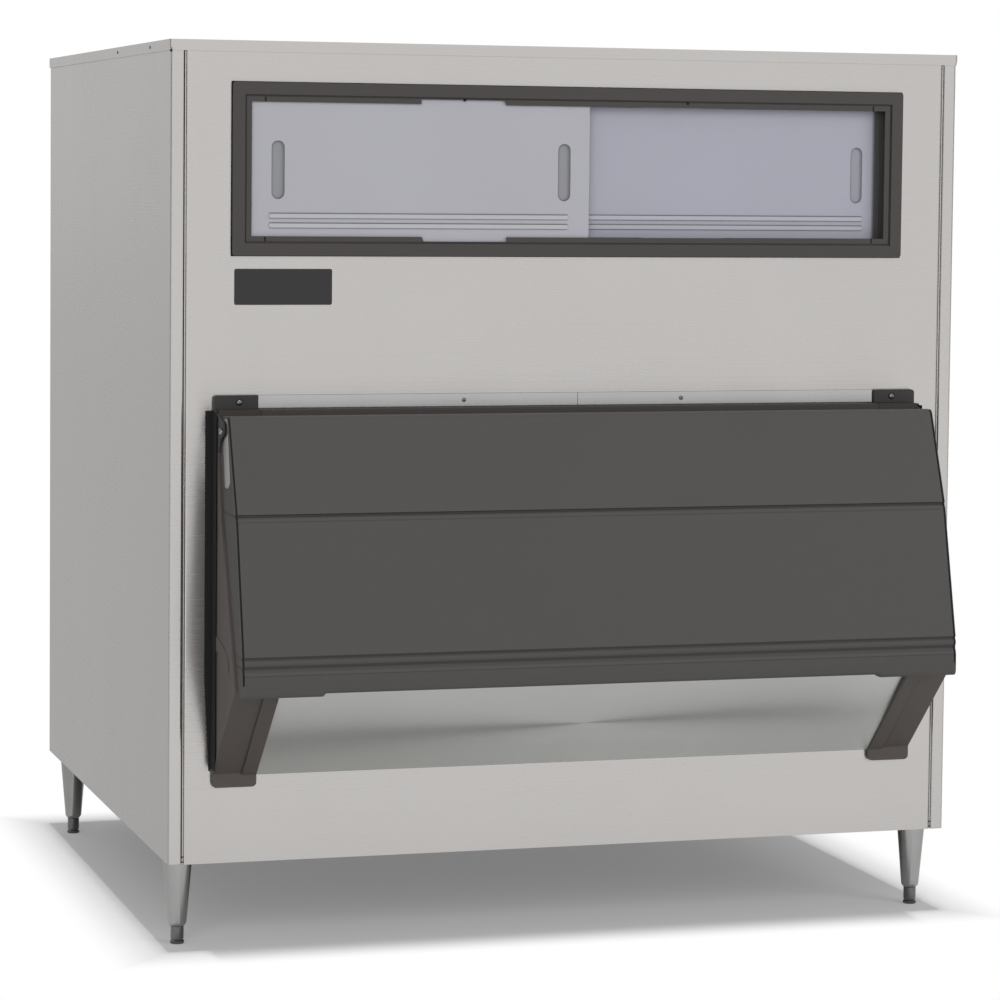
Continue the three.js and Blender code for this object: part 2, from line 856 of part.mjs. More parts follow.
// A moulded panel in one track: two low ribs, recessed finger grips and a rim that fills the track.
function slidingPanel({ left, right, track, ribs, grips }) {
  const low = windowCentreHeight - windowTrack.halfHeight + seatGap;
  const high = windowCentreHeight + windowTrack.halfHeight - panelHeadroom;
  const frontOut = lipBackOut - panelSetback - track * trackPitch;
  const backOut = frontOut + 2 * panelSetback - trackDepth;
  const tray = prismOut(rectangle(left, right, low, high), backOut, frontOut);
  const inside = rectangle(
    left + panelRimWidth,
    right - panelRimWidth,
    low + panelRimWidth,
    high - panelRimWidth,
  );
  const sheet = tray.subtract(prismOut(inside, backOut - cutOverrun, frontOut - panelThickness));
  const bars = [0, 1].map((row) => {
    const height = panelRibLow + row * panelRibPitch;
    const outline = slotOutline((ribs[0] + ribs[1]) / 2, height, ribs[1] - ribs[0], panelRibWidth);
    return prismOut(outline, frontOut - panelThickness / 2, frontOut + panelRibHeight);
  });
  const cups = grips.map((x) => {
    const outline = slotOutline(x, gripCentreHeight, gripWidth + 2 * gripWall, gripHeight + 2 * gripWall);
    return prismOut(outline, frontOut - gripDepth - gripWall, frontOut - panelThickness / 2);
  });
  const hollows = grips.map((x) => {
    const outline = slotOutline(x, gripCentreHeight, gripWidth, gripHeight);
    return prismOut(outline, frontOut - gripDepth, frontOut + cutOverrun);
  });
  return cutBy(joined(sheet, ...bars, ...cups), ...hollows);
}

const trackEnd = windowTrack.halfWidth - panelSideClearance;

function leftPanel() {
  return slidingPanel({
    left: -trackEnd,
    right: panelMeetingLap,
    track: 0,
    ribs: [panelRibInset - trackEnd, panelMeetingLap - panelRibInsetMeeting],
    grips: [gripInsetLeft - trackEnd, panelMeetingLap - gripInsetMeeting],
  });
}

function rightPanel() {
  return slidingPanel({
    left: -panelMeetingLap,
    right: trackEnd,
    track: 1,
    ribs: [panelRibInset - panelMeetingLap, trackEnd - panelRibInset],
    grips: [trackEnd - gripInsetRight],
  });
}

// Bare name plate
function badgePlate() {
  const left = badgeLeftInset - halfWidth;
  const edge = rectangle(left, left + badgeWidth, badgeLowEdge, badgeLowEdge + badgeHeight);
  return prismOut(rounded(edge, badgeCornerRadius, arcSteps / 2), seatGap, seatGap + badgeThickness);
}

// Snout

// The height of a point of the door's outline.
function doorDropTo(dropShare) {
  return pivotHeight - doorHeight * dropShare;
}

// A point of the door's outline, as [out, height].
function doorPoint([outShare, dropShare]) {
  return [pivotOut + doorDepth * outShare, doorDropTo(dropShare)];
}

// The line that the door closes on, from the seal's top down to the sill, moved back by a distance.
function closingLine(distance) {
  return movedLine(
    [
      [doorBackOut, sealTopHeight],
      [doorBackOut, doorDropTo(rearStartDropShare)],
      doorPoint(rearCreaseShares),
      doorPoint(rearEndShares),
    ],
    -distance,
  );
}

// How far out that line lies at a height, on its lowest stretch.
function closingOut(height, distance) {
  const [, , crease, end] = closingLine(distance);
  const slope = (end[0] - crease[0]) / (crease[1] - end[1]);
  return crease[0] + (crease[1] - height) * slope;
}

// The snout's front above the seal, drawn back so that the door's top can turn past it.
function recessLine() {
  return [
    [doorBackOut - snoutTopSetback, snoutTop],
    [doorBackOut - recessSetback, pivotHeight - recessDrop],
  ];
}

// The arm's sloping front line, from its nose under the door to its foot.
function armLine() {
  return [
    [closingOut(armNoseHeight, closingGap), armNoseHeight],
    [armFootOut, armFootTop],
  ];
}

// The section of a cheek and its arm, down to where the arm's front line meets the panel.
function cheekSection() {
  const [nose, armFoot] = armLine();
  const slope = (nose[0] - armFoot[0]) / (nose[1] - armFoot[1]);
  return [
    [seatGap, snoutTop],
    ...recessLine(),
    ...closingLine(closingGap).slice(0, 3),
    nose,
    [seatGap, armFoot[1] - (armFoot[0] - seatGap) / slope],
  ];
}

// The hollow inside a cheek, open to the back.
function cheekHollow() {
  const inner = movedLoop(cheekSection(), -cheekWall);
  return inner.map(([out, height], i) => [i === 0 || i === inner.length - 1 ? -cutOverrun : out, height]);
}

// A cheek: the moulded side of the snout, with the arm that runs down to its foot.
function cheek(side) {
  const span = (near, far) => (side < 0 ? [-far, -near] : [near, far]);
  const body = prismAcross(cheekSection(), ...span(cheekInner, snoutHalfWidth));
  const hollowEnd = snoutHalfWidth - earThickness - cheekWall;
  const hollow = prismAcross(cheekHollow(), ...span(cheekInner + cheekWall, hollowEnd));
  const earPocket = prismAcross(
    rectangle(-cutOverrun, doorFaceOut, earLowEdge - seatGap, snoutTop + cutOverrun),
    ...span(earInner - seatGap, snoutHalfWidth + cutOverrun),
  );
  const swoosh = prismAcross(
    swooshOutline(),
    ...span(snoutHalfWidth - swooshProud, snoutHalfWidth + swooshProud),
  );
  return joined(cutBy(body, hollow, earPocket), armFootPad(side), armBand(side), swoosh);
}

// The flat foot that screws an arm to the panel.
function armFootPad(side) {
  const [left, right] = side < 0 ? [-snoutHalfWidth, -cheekInner] : [cheekInner, snoutHalfWidth];
  const edge = rectangle(left, right, armFootTop - armFootHeight, armFootTop);
  return prismOut(rounded(edge, [armFootCorner, armFootCorner, 0, 0], arcSteps / 2), seatGap, armFootOut);
}

// The raised band along the inner side of an arm's face.
function armBand(side) {
  const [nose, armFoot] = armLine();
  const start = [
    nose[0] + (armFoot[0] - nose[0]) * armBandStartShare,
    nose[1] + (armFoot[1] - nose[1]) * armBandStartShare,
  ];
  const line = [start, armFoot];
  const outline = [...movedLine(line, armBandHeight), ...movedLine(line, -cheekWall / 2).reverse()];
  const span = [cheekInner, cheekInner + armBandWidth];
  return prismAcross(outline, ...(side < 0 ? span.map((x) => -x).reverse() : span));
}

// A shallow curved band moulded on the cheek's side.
function swooshOutline() {
  const start = doorDropTo(swooshDropShare);
  const edge = (shift, drop) => {
    const line = [];
    for (let i = 0; i <= arcSteps; i++) {
      const along = i / arcSteps;
      const out = swooshStartOut + shift + (swooshEndOut - swooshStartOut) * along;
      const bulge = swooshBulge * Math.sin(Math.PI * along);
      line.push([out, start - drop - swooshDrop * along + bulge]);
    }
    return line;
  };
  return [...edge(0, 0), ...edge(swooshShift, swooshHeight).reverse()];
}

// A hinge bracket: a thick flange on the panel with an ear beside the door's end.
function hingeBracket(side) {
  const span = (near, far) => (side < 0 ? [-far, -near] : [near, far]);
  const high = trimLowEdge + trimHeight;
  const [left, right] = span(cheekInner, snoutHalfWidth);
  const corners = side < 0 ? [0, 0, 0, bracketCornerRadius] : [0, 0, bracketCornerRadius, 0];
  const flange = prismOut(
    rounded(rectangle(left, right, trimLowEdge, high), corners),
    seatGap,
    seatGap + bracketThickness,
  );
  const ear = prismAcross(earOutline(), ...span(earInner, snoutHalfWidth));
  const screw = screwHole(side * bracketScrewPlace, trimLowEdge + trimHeight / 2);
  return cutBy(joined(flange, ear), screw, pinHole(side, pinRadius + seatGap));
}

// The ear's side view: wide at the panel, with a round nose at the pivot.
function earOutline() {
  const nose = [];
  for (let i = 0; i <= arcSteps; i++) {
    const angle = Math.PI / 2 - (Math.PI * i) / arcSteps;
    nose.push([
      pivotOut - earNoseSetback + earNoseRadius * Math.cos(angle),
      pivotHeight + earNoseRise + earNoseRadius * Math.sin(angle),
    ]);
  }
  return [
    [seatGap, trimLowEdge + trimHeight / 2],
    [bracketThickness, trimLowEdge + trimHeight / 2],
    [bracketThickness, snoutTop],
    [pivotOut - earShoulderSetback, pivotHeight + earShoulderRise],
    ...nose,
    [pivotOut - earThroatSetback, pivotHeight - earThroatDrop],
    [pivotOut - earRootSetback, earLowEdge],
    [seatGap, earLowEdge],
  ];
}

// One length of the bright trim strip over the door.
function trimStrip(left, right, screwX) {
  const high = trimLowEdge + trimHeight;
  const section = rounded(rectangle(seatGap, seatGap + trimThickness, trimLowEdge, high), [
    0,
    trimEdgeRadius,
    trimEdgeRadius,
    0,
  ]);
  return prismAcross(section, left, right).subtract(screwHole(screwX, trimLowEdge + trimHeight / 2));
}

// The header between the cheeks, which the door's top edge seals against.
function snoutHeader() {
  const [sealTop] = closingLine(closingGap);
  const line = [
    [seatGap, headerLowEdge],
    [sealTop[0], headerLowEdge],
    sealTop,
    ...recessLine().reverse(),
    [seatGap, snoutTop],
  ];
  const edge = cheekInner - snoutSideClearance;
  return prismAcross(foldedSheet(line, headerWall, headerWall / 2), -edge, edge);
}

// The apron: bright sheet from a hem behind the panel up to the lip under the door.
function apronPanel() {
  const [nose, armFoot] = armLine();
  const slope = (nose[0] - armFoot[0]) / (nose[1] - armFoot[1]);
  const topHeight = chuteLipLow - chuteWall;
  const hemOut = -(skinThickness + apronBend + apronThickness);
  const sill = sillHeight + seatGap + apronThickness;
  const line = [
    [armFoot[0] - apronRecess + (topHeight - armFoot[1]) * slope, topHeight],
    [armFoot[0] - apronRecess, sill],
    [hemOut, sill],
    [hemOut, sillHeight - apronHem],
  ];
  const edge = cheekInner - snoutSideClearance;
  return prismAcross(foldedSheet(line, apronThickness, apronBend), -edge, edge);
}

// The chute: the bin's sill, which slopes inwards and ends in the lip that the door meets.
function iceChute() {
  const line = [
    [closingOut(chuteLipLow, closingGap), chuteLipLow],
    [closingOut(chuteLipHigh, closingGap), chuteLipHigh],
    [0, chuteBackHeight + chuteWall],
    [-(linerFrontPlace + linerWall), chuteBackHeight],
  ];
  const edge = cheekInner - snoutSideClearance;
  return prismAcross(foldedSheet(line, chuteWall, chuteWall / 2), -edge, edge);
}

// Door

// The corner between the door's top and its face, before it is rounded.
function doorTopCorner() {
  return [pivotOut + doorDepth * topCornerOutShare, doorTopHeight];
}

// The crease across the door's face: a shallow groove, steep on its upper side.
function doorCrease() {
  const crease = doorPoint(creaseShares);
  return [
    towards(crease, doorTopCorner(), doorCreaseRise),
    [crease[0] - doorCreaseDepth, crease[1]],
    towards(crease, doorPoint(beadStartShares), doorCreaseFall),
  ];
}

// The door's outer section, from its rounded top down the face and round the bottom edge.
function doorSection(drop) {
  const top = [];
  for (let i = 0; i <= arcSteps; i++) {
    const angle = Math.PI - (Math.PI * i) / (2 * arcSteps);
    top.push([pivotOut + doorTopRadius * Math.cos(angle), pivotHeight + doorTopRadius * Math.sin(angle)]);
  }
  const [beadOut, beadHeight] = doorPoint(beadStartShares);
  const face = [
    doorTopCorner(),
    ...doorCrease(),
    [beadOut, beadHeight],
    [beadOut - doorGrooveDepth, doorDropTo(beadHighDropShare)],
    [beadOut + doorBeadProud, doorDropTo(beadMiddleDropShare)],
    [beadOut - doorGrooveDepth / 2, doorDropTo(grooveDropShare)],
    [doorFaceOut - doorBeadProud / 3, doorDropTo(lowBeadDropShare)],
    [doorFaceOut, doorBottomHeight + doorBottomRadius + doorBottomFlat - drop],
    [doorFaceOut, doorBottomHeight - drop],
    [closingOut(doorBottomHeight - drop, 0), doorBottomHeight - drop],
    doorPoint(rearEndShares),
  ];
  const radii = face.map(() => 0);
  const bottomCorner = face.length - 3;
  radii[0] = doorTopCornerRadius;
  radii[bottomCorner] = doorBottomRadius;
  const rear = [doorPoint(rearCreaseShares), [doorBackOut, doorDropTo(rearStartDropShare)]];
  const outline = [...top, ...face, ...rear];
  return rounded(outline, [...top.map(() => 0), ...radii, 0, 0], arcSteps / 2);
}

// The hollow behind the door's skin, open to the back where the door's inner sheet goes.
function doorHollow() {
  const topInner = [];
  const radius = doorTopRadius - doorWall;
  for (let i = 0; i <= arcSteps; i++) {
    const angle = Math.PI - (Math.PI * i) / (2 * arcSteps);
    topInner.push([pivotOut + radius * Math.cos(angle), pivotHeight + radius * Math.sin(angle)]);
  }
  const corner = doorTopCorner();
  const crease = doorPoint(creaseShares);
  const beadOut = doorPoint(beadStartShares)[0] - doorGrooveDepth;
  const bead = [beadOut, doorDropTo(beadHighDropShare)];
  const lower = [beadOut, doorBottomHeight];
  const face = movedLine([corner, crease, bead, lower], -doorWall);
  const floor = doorBottomHeight + doorWall;
  const openLow = doorLinerLow - seatGap;
  const openHigh = doorLinerTop + seatGap;
  const [, start, creaseBack] = closingLine(cutOverrun);
  return [
    ...topInner,
    [face[0][0] - doorWall / 2, doorTopHeight - doorWall],
    ...face.slice(1, 3),
    [face[3][0], floor + doorBottomRadius / 2],
    [face[3][0] - doorBottomRadius / 2, floor],
    [closingOut(floor, -doorWall), floor],
    [closingOut(openLow, -doorWall), openLow],
    [closingOut(openLow, cutOverrun), openLow],
    creaseBack,
    start,
    [start[0], openHigh],
    [doorBackOut + doorWall, openHigh],
  ];
}

// The moulded shell: its two ends reach a little lower than the middle.
function doorShell() {
  const body = joined(
    prismAcross(doorSection(0), -doorHalfWidth, doorHalfWidth),
    prismAcross(doorSection(doorPadDrop), -doorHalfWidth, -doorPadInner),
    prismAcross(doorSection(doorPadDrop), doorPadInner, doorHalfWidth),
  );
  const hollow = prismAcross(doorHollow(), doorWall - doorHalfWidth, doorHalfWidth - doorWall);
  const pockets = [-1, 1].map((side) => platePocket(side));
  const pins = [-1, 1].map((side) => pinHole(side, pinRadius + seatGap));
  return cutBy(body, hollow, ...pockets, ...pins, doorEndSeam(-1), doorEndSeam(1));
}

// The seam down one end of the door's face, where the front of the moulding meets its end.
function doorEndSeam(side) {
  const line = [
    doorTopCorner(),
    doorPoint(creaseShares),
    doorPoint(beadStartShares),
    [doorFaceOut, doorBottomHeight + doorBottomRadius],
  ];
  const outline = [...movedLine(line, cutOverrun), ...movedLine(line, -doorSeamDepth).reverse()];
  const outer = doorHalfWidth - doorSeamInset;
  const span = [outer - doorSeamWidth, outer];
  return prismAcross(outline, ...(side < 0 ? span.map((x) => -x).reverse() : span));
}

// The moulded inner sheet that closes the door's back.
function doorLiner() {
  const line = [
    [doorBackOut, doorLinerTop],
    [doorBackOut, doorDropTo(rearStartDropShare)],
    doorPoint(rearCreaseShares),
    [closingOut(doorLinerLow, 0), doorLinerLow],
  ];
  const edge = doorHalfWidth - doorWall - seatGap;
  return prismAcross(foldedSheet(line, doorLinerThickness, doorLinerThickness), -edge, edge);
}

// The gasket: a soft frame on the door's back that meets the cheeks, the header and the chute's lip.
function doorGasket() {
  const far = (distance, low, high) => {
    const [, start, crease] = closingLine(distance);
    return [[start[0], high], start, crease, [closingOut(low, distance), low]];
  };
  const strip = (low, high) => [
    ...far(seatGap, low, high),
    ...far(closingGap - seatGap, low, high).reverse(),
  ];
  const wide = (low, high) => [
    ...far(-cutOverrun, low, high),
    ...far(closingGap + cutOverrun, low, high).reverse(),
  ];
  const edge = doorHalfWidth - gasketInset;
  const inner = edge - gasketWidth;
  const frame = prismAcross(strip(gasketLowHeight, gasketTopHeight), -edge, edge);
  return frame.subtract(
    prismAcross(wide(gasketLowHeight + gasketWidth, gasketTopHeight - gasketWidth), -inner, inner),
  );
}

// The steel hinge plate let into each end of the door, seen from the side, larger by a margin.
function hingePlateOutline(margin) {
  const top = pivotHeight + hingePlateRise;
  const low = pivotHeight - hingePlateDrop;
  const middle = (pivotHeight + low) / 2;
  const corners = [
    [pivotOut - hingePlateCorner / 2, top],
    [pivotOut - hingePlateBehind, pivotHeight - hingePlateCorner],
    [pivotOut + hingePlateBehind / 2, low],
    [pivotOut + hingePlateAhead, low],
    [pivotOut + hingePlateBehind / 2 + hingePlateWidth, low + hingePlateRise / 2],
    [pivotOut + hingePlateWidth - hingePlateCorner, middle + hingePlateRise],
    [pivotOut + hingePlateRise, top],
  ];
  return rounded(movedLoop(corners, -margin), hingePlateCorner / 2 + margin, 2);
}

function hingePlate(side) {
  const outer = doorHalfWidth;
  const span = side < 0 ? [-outer, hingePlateThickness - outer] : [outer - hingePlateThickness, outer];
  return prismAcross(hingePlateOutline(0), ...span).subtract(pinHole(side, pinRadius + seatGap));
}

function platePocket(side) {
  const bottom = doorHalfWidth - hingePlateThickness - seatGap;
  const span = side < 0 ? [-doorHalfWidth - cutOverrun, -bottom] : [bottom, doorHalfWidth + cutOverrun];
  return prismAcross(hingePlateOutline(seatGap), ...span);
}

// Pins and screws

function pinHole(side, radius) {
  const length = cutOverrun * 2;
  const hole = new THREE.CylinderGeometry(radius, radius, length, pinSteps);
  return solidOf(hole.rotateZ(Math.PI / 2).translate(side * doorHalfWidth, -pivotOut, pivotHeight));
}

// A shoulder pin with a socket in its head, which the door turns on.
function hingePin(side) {
  const headSeat = snoutHalfWidth + seatGap;
  const profile = [
    [0, -pinDepth],
    [pinRadius, -pinDepth],
    [pinRadius, 0],
    [pinHeadRadius, 0],
    [pinHeadRadius, pinHeadHeight - pinSocketDepth / 2],
    [pinHeadRadius - pinSocketDepth / 2, pinHeadHeight],
    [pinSocketRadius, pinHeadHeight],
    [pinSocketRadius, pinHeadHeight - pinSocketDepth],
    [0, pinHeadHeight - pinSocketDepth],
  ];
  const pin = turned(profile, pinSteps).rotateY((side * Math.PI) / 2);
  return solidOf(pin.translate(side * headSeat, -pivotOut, pivotHeight));
}

function screwHole(x, height) {
  const radius = screwShankRadius + seatGap;
  const hole = new THREE.CylinderGeometry(radius, radius, cutOverrun * 2, pinSteps);
  return solidOf(hole.translate(x, 0, height));
}

function trimScrewHoles() {
  const height = trimLowEdge + trimHeight / 2;
  return [-bracketScrewPlace, -stripScrewPlace, stripScrewPlace, bracketScrewPlace].map((x) =>
    screwHole(x, height),
  );
}

// A round-headed screw through the trim or a bracket into the panel.
function trimScrew(x, seatOut) {
  const profile = [
    [0, -screwLength],
    [screwShankRadius, -screwLength],
    [screwShankRadius, 0],
    [screwHeadRadius, 0],
    [screwHeadRadius, screwHeadHeight / 3],
    [screwHeadRadius * Math.cos(Math.PI / 4), screwHeadHeight * Math.sin(Math.PI / 3)],
    [0, screwHeadHeight],
  ];
  const screw = turned(profile, pinSteps).rotateX(Math.PI / 2);
  return solidOf(screw.translate(x, -seatOut - seatGap, trimLowEdge + trimHeight / 2));
}

// Drain

function drainHole(radius) {
  const length = cutOverrun * 2 + foamThickness * 2;
  const hole = new THREE.CylinderGeometry(radius, radius, length, roundSteps);
  return solidOf(hole.translate(0, cabinetDepth - foamThickness / 2, drainHeight));
}

// The drain tube, with a collar inside the liner.
function drainFitting() {
  const length = cabinetDepth + drainReach - drainWallPlace;
  const profile = [
    [drainBoreRadius, -drainCollarThickness - seatGap],
    [drainCollarRadius, -drainCollarThickness - seatGap],
    [drainCollarRadius, -seatGap],
    [drainOuterRadius, -seatGap],
    [drainOuterRadius, length],
    [drainBoreRadius, length],
    [drainBoreRadius, -drainCollarThickness - seatGap],
  ];
  const tube = turned(profile, roundSteps).rotateX(-Math.PI / 2);
  return solidOf(tube.translate(0, drainWallPlace, drainHeight));
}

// The nut that draws the drain tube against the back panel.
function drainNut() {
  const nut = new THREE.CylinderGeometry(drainNutAcross, drainNutAcross, drainNutThickness, 6);
  const bore = drainOuterRadius + seatGap;
  const hole = new THREE.CylinderGeometry(bore, bore, drainNutThickness + cutOverrun, roundSteps);
  const y = cabinetDepth - skinThickness + drainNutThickness / 2;
  return solidOf(nut).subtract(solidOf(hole)).translate([0, y, drainHeight]);
}

// The strainer: a holed plate on a short rim in front of the drain.
function drainStrainer() {
  const wall = drainWallPlace - seatGap;
  const front = -(strainerStandOff + strainerThickness);
  const profile = [
    [0, front],
    [strainerRadius, front],
    [strainerRadius, 0],
    [strainerRadius - strainerThickness, 0],
    [strainerRadius - strainerThickness, front + strainerThickness],
    [0, front + strainerThickness],
  ];
  const dish = solidOf(turned(profile, roundSteps * 2).rotateX(-Math.PI / 2));
  const places = [[0, 0]];
  for (let i = 0; i < strainerHoles; i++) {
    const angle = (2 * Math.PI * i) / strainerHoles;
    places.push([strainerHoleRing * Math.cos(angle), strainerHoleRing * Math.sin(angle)]);
  }
  const holes = places.map(([x, z]) => {
    const hole = new THREE.CylinderGeometry(strainerHoleRadius, strainerHoleRadius, cutOverrun, arcSteps);
    return solidOf(hole.translate(x, front, z));
  });
  return cutBy(dish, ...holes).translate([0, wall, drainHeight]);
}

// Assembly

const bin = new THREE.Group();
const carcass = new THREE.Group();
carcass.position.set(0, depthShift, legLength);
bin.add(carcass);

carcass.add(
  pieceOf("side_panel_left", sidePanel(-1), brushedSteel(0xa5a6a8)),
  pieceOf("side_panel_right", sidePanel(1), brushedSteel(0xa5a6a8)),
  pieceOf("front_panel", frontPanel(), brushedSteel()),
  pieceOf("back_panel", backPanel(), brushedSteel(0xa5a6a8)),
  pieceOf("base_panel", basePanel(), brushedSteel(0x9c9d9e)),
  pieceOf("top_cap", topCap(), brushedSteel()),
  pieceOf("bin_liner", binLiner(), linerPlastic()),
  pieceOf("window_frame", windowFrame(), framePlastic()),
  pieceOf("badge_plate", badgePlate(), blackPlastic()),
  pieceOf("snout_header", snoutHeader(), snoutPlastic()),
  pieceOf("apron_panel", apronPanel(), brushedSteel(0xa0a0a0)),
  pieceOf("ice_chute", iceChute(), linerPlastic()),
  pieceOf("drain_fitting", drainFitting(), linerPlastic()),
  pieceOf("drain_nut", drainNut(), blackPlastic()),
  pieceOf("drain_strainer", drainStrainer(), polishedSteel()),
);

const trimGap = trimSplitGap / 2;
const trimEnd = cheekInner - seatGap;
carcass.add(
  pieceOf("trim_strip_left", trimStrip(-trimEnd, trimSplitPlace - trimGap, -stripScrewPlace), brushedSteel()),
  pieceOf("trim_strip_right", trimStrip(trimSplitPlace + trimGap, trimEnd, stripScrewPlace), brushedSteel()),
);

for (const [side, word] of [
  [-1, "left"],
  [1, "right"],
]) {
  carcass.add(
    pieceOf("side_cheek_" + word, cheek(side), snoutPlastic()),
    pieceOf("hinge_bracket_" + word, hingeBracket(side), framePlastic()),
    pieceOf(
      "strip_screw_" + word,
      trimScrew(side * stripScrewPlace, seatGap + trimThickness),
      polishedSteel(),
    ),
    pieceOf(
      "bracket_screw_" + word,
      trimScrew(side * bracketScrewPlace, seatGap + bracketThickness),
      polishedSteel(),
    ),
    pieceOf("door_hinge_plate_" + word, hingePlate(side), brushedSteel()),
    pieceOf("hinge_pin_" + word, hingePin(side), polishedSteel()),
  );
  rivetPlaces().forEach((y, i) => {
    carcass.add(pieceOf("cap_rivet_" + word + "_" + (i + 1), capRivet(side, y), brushedSteel()));
  });
}

for (const spot of legSpots()) {
  carcass.add(
    pieceOf("leg_plate_" + spot.name, legPlate(spot), brushedSteel()),
    pieceOf("leg_" + spot.name, leg(spot), polishedSteel()),
    pieceOf("foot_" + spot.name, foot(spot), polishedSteel()),
  );
}

carcass.add(
  pieceOf("sliding_panel_left", leftPanel(), frostedPlastic()),
  pieceOf("sliding_panel_right", rightPanel(), frostedPlastic()),
  pieceOf("door_shell", doorShell(), doorPlastic()),
  pieceOf("door_liner", doorLiner(), linerPlastic()),
  pieceOf("door_gasket", doorGasket(), softRubber()),
);

export default bin;
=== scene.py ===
# An upright ice storage bin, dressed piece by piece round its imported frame, in the order it is put together.
# Metres, +Z up, +X to the right along the front, the front faces -Y.
import math

import bmesh
import bpy
from mathutils import Matrix, Vector


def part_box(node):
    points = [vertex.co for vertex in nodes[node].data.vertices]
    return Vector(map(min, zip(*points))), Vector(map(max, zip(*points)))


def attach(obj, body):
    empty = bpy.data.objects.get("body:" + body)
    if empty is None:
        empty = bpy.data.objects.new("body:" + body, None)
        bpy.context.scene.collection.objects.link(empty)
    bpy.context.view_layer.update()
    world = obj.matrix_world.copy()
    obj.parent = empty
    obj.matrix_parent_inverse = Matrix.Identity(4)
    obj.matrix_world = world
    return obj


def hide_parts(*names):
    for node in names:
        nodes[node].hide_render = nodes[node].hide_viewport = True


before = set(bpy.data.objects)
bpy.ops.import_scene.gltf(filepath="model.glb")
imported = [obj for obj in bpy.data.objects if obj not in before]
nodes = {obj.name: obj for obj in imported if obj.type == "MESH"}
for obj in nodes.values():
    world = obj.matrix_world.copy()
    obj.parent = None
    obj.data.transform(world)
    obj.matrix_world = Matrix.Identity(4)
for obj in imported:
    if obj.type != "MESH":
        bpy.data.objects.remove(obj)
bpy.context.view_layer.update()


# ---------------------------------------------------------------------------
# Cabinet skins
# Folded sheets of stainless steel with a fine brushed grain along each sheet. The sides are one sheet
# each, folded round the front post and the back edge; the front sheet is let in between the posts.


class Flow:
    """One value that runs through a finish's nodes, and can be added, multiplied and so on."""

    def __init__(self, finish, socket):
        self.finish = finish
        self.socket = socket

    def math(self, operation, *values):
        return self.finish.node("ShaderNodeMath", {"operation": operation}, dict(enumerate(values)))

    def __add__(self, other):
        return self.math("ADD", self, other)

    def __radd__(self, other):
        return self.math("ADD", other, self)

    def __sub__(self, other):
        return self.math("SUBTRACT", self, other)

    def __rsub__(self, other):
        return self.math("SUBTRACT", other, self)

    def __mul__(self, other):
        return self.math("MULTIPLY", self, other)

    def __rmul__(self, other):
        return self.math("MULTIPLY", other, self)

    def between(self, low, high):
        """0 below low, 1 above high, and a smooth step from one to the other."""
        settings = {"interpolation_type": "SMOOTHSTEP"}
        return self.finish.node("ShaderNodeMapRange", settings, {0: self, 1: low, 2: high, 3: 0.0, 4: 1.0})


class Finish:
    """A surface finish, or the sky: something whose nodes are made by one method."""

    def __init__(self, name, owner=None):
        self.material = owner or bpy.data.materials.new(name)
        self.material.use_nodes = True
        self.tree = self.material.node_tree
        self.tree.nodes.clear()
        self.spot = 0

    def node(self, kind, settings=None, values=None, output=0):
        """Makes a node: its settings first, then the values or links of its sockets."""
        made = self.tree.nodes.new(kind)
        made.location = (self.spot * 180, 0)
        self.spot += 1
        for name, value in (settings or {}).items():
            setattr(made, name, value)
        for key, value in (values or {}).items():
            if isinstance(value, Flow):
                self.tree.links.new(value.socket, made.inputs[key])
            else:
                made.inputs[key].default_value = value
        return Flow(self, made.outputs[output]) if made.outputs else None

    def pattern(self, scale=(1.0, 1.0, 1.0)):
        """The piece's own coordinates, stretched for a pattern."""
        place = self.node("ShaderNodeTexCoord", output=3)
        return self.node("ShaderNodeVectorMath", {"operation": "MULTIPLY"}, {0: place, 1: scale})

    def noise(self, place, scale=1.0, detail=2.0, roughness=0.5):
        return self.node(
            "ShaderNodeTexNoise",
            {"noise_dimensions": "3D"},
            {"Vector": place, "Scale": scale, "Detail": detail, "Roughness": roughness},
        )

    def across(self, place, axis):
        """One coordinate of a place: 0 for X, 1 for Y, 2 for Z."""
        return self.node("ShaderNodeSeparateXYZ", None, {0: place}, output=axis)

    def edges(self, radius):
        """Near 1 along sharp edges and 0 on open faces: a mask for edge wear, and for painted highlight and
        painted shade along edges.
        """
        rounded = self.node("ShaderNodeBevel", {"samples": 4}, {"Radius": radius})
        flat = self.node("ShaderNodeNewGeometry", output=1)
        settings = {"operation": "DOT_PRODUCT"}
        same = self.node("ShaderNodeVectorMath", settings, {0: rounded, 1: flat}, output=1)
        return (1.0 - same).between(0.01, 0.16)

    def crevice_shade(self, reach, low=0.25, high=0.85):
        """Near 1 in corners and grooves, where shade falls, and 0 on open faces: a mask for painted shade."""
        settings = {"samples": 6, "only_local": True}
        open_share = self.node("ShaderNodeAmbientOcclusion", settings, {"Distance": reach}, output=1)
        return 1.0 - open_share.between(low, high)

    def tint(self, amount, first, second):
        """A colour between two colours."""
        settings = {"data_type": "RGBA", "blend_type": "MIX"}
        return self.node("ShaderNodeMix", settings, {0: amount, 6: first, 7: second}, output=2)

    def relief(self, height, depth):
        """A fine relief of the surface, as deep as the given depth."""
        return self.node("ShaderNodeBump", None, {"Strength": 1.0, "Distance": depth, "Height": height})

    def surface(self, **sockets):
        """Ends the finish with one surface shader, whose sockets are given by name."""
        values = {name.replace("_", " "): value for name, value in sockets.items()}
        shader = self.node("ShaderNodeBsdfPrincipled", None, values)
        self.node("ShaderNodeOutputMaterial", None, {0: shader})
        return self.material


def linear(red, green, blue):
    """A colour given in 8-bit screen values, as the shaders want it."""

    def one(value):
        share = value / 255
        return share / 12.92 if share <= 0.04045 else ((share + 0.055) / 1.055) ** 2.4

    return (one(red), one(green), one(blue), 1.0)


def shade(colour, share):
    """A colour made darker, or lighter up to white."""
    return tuple(min(value * share, 1.0) for value in colour[:3]) + (1.0,)


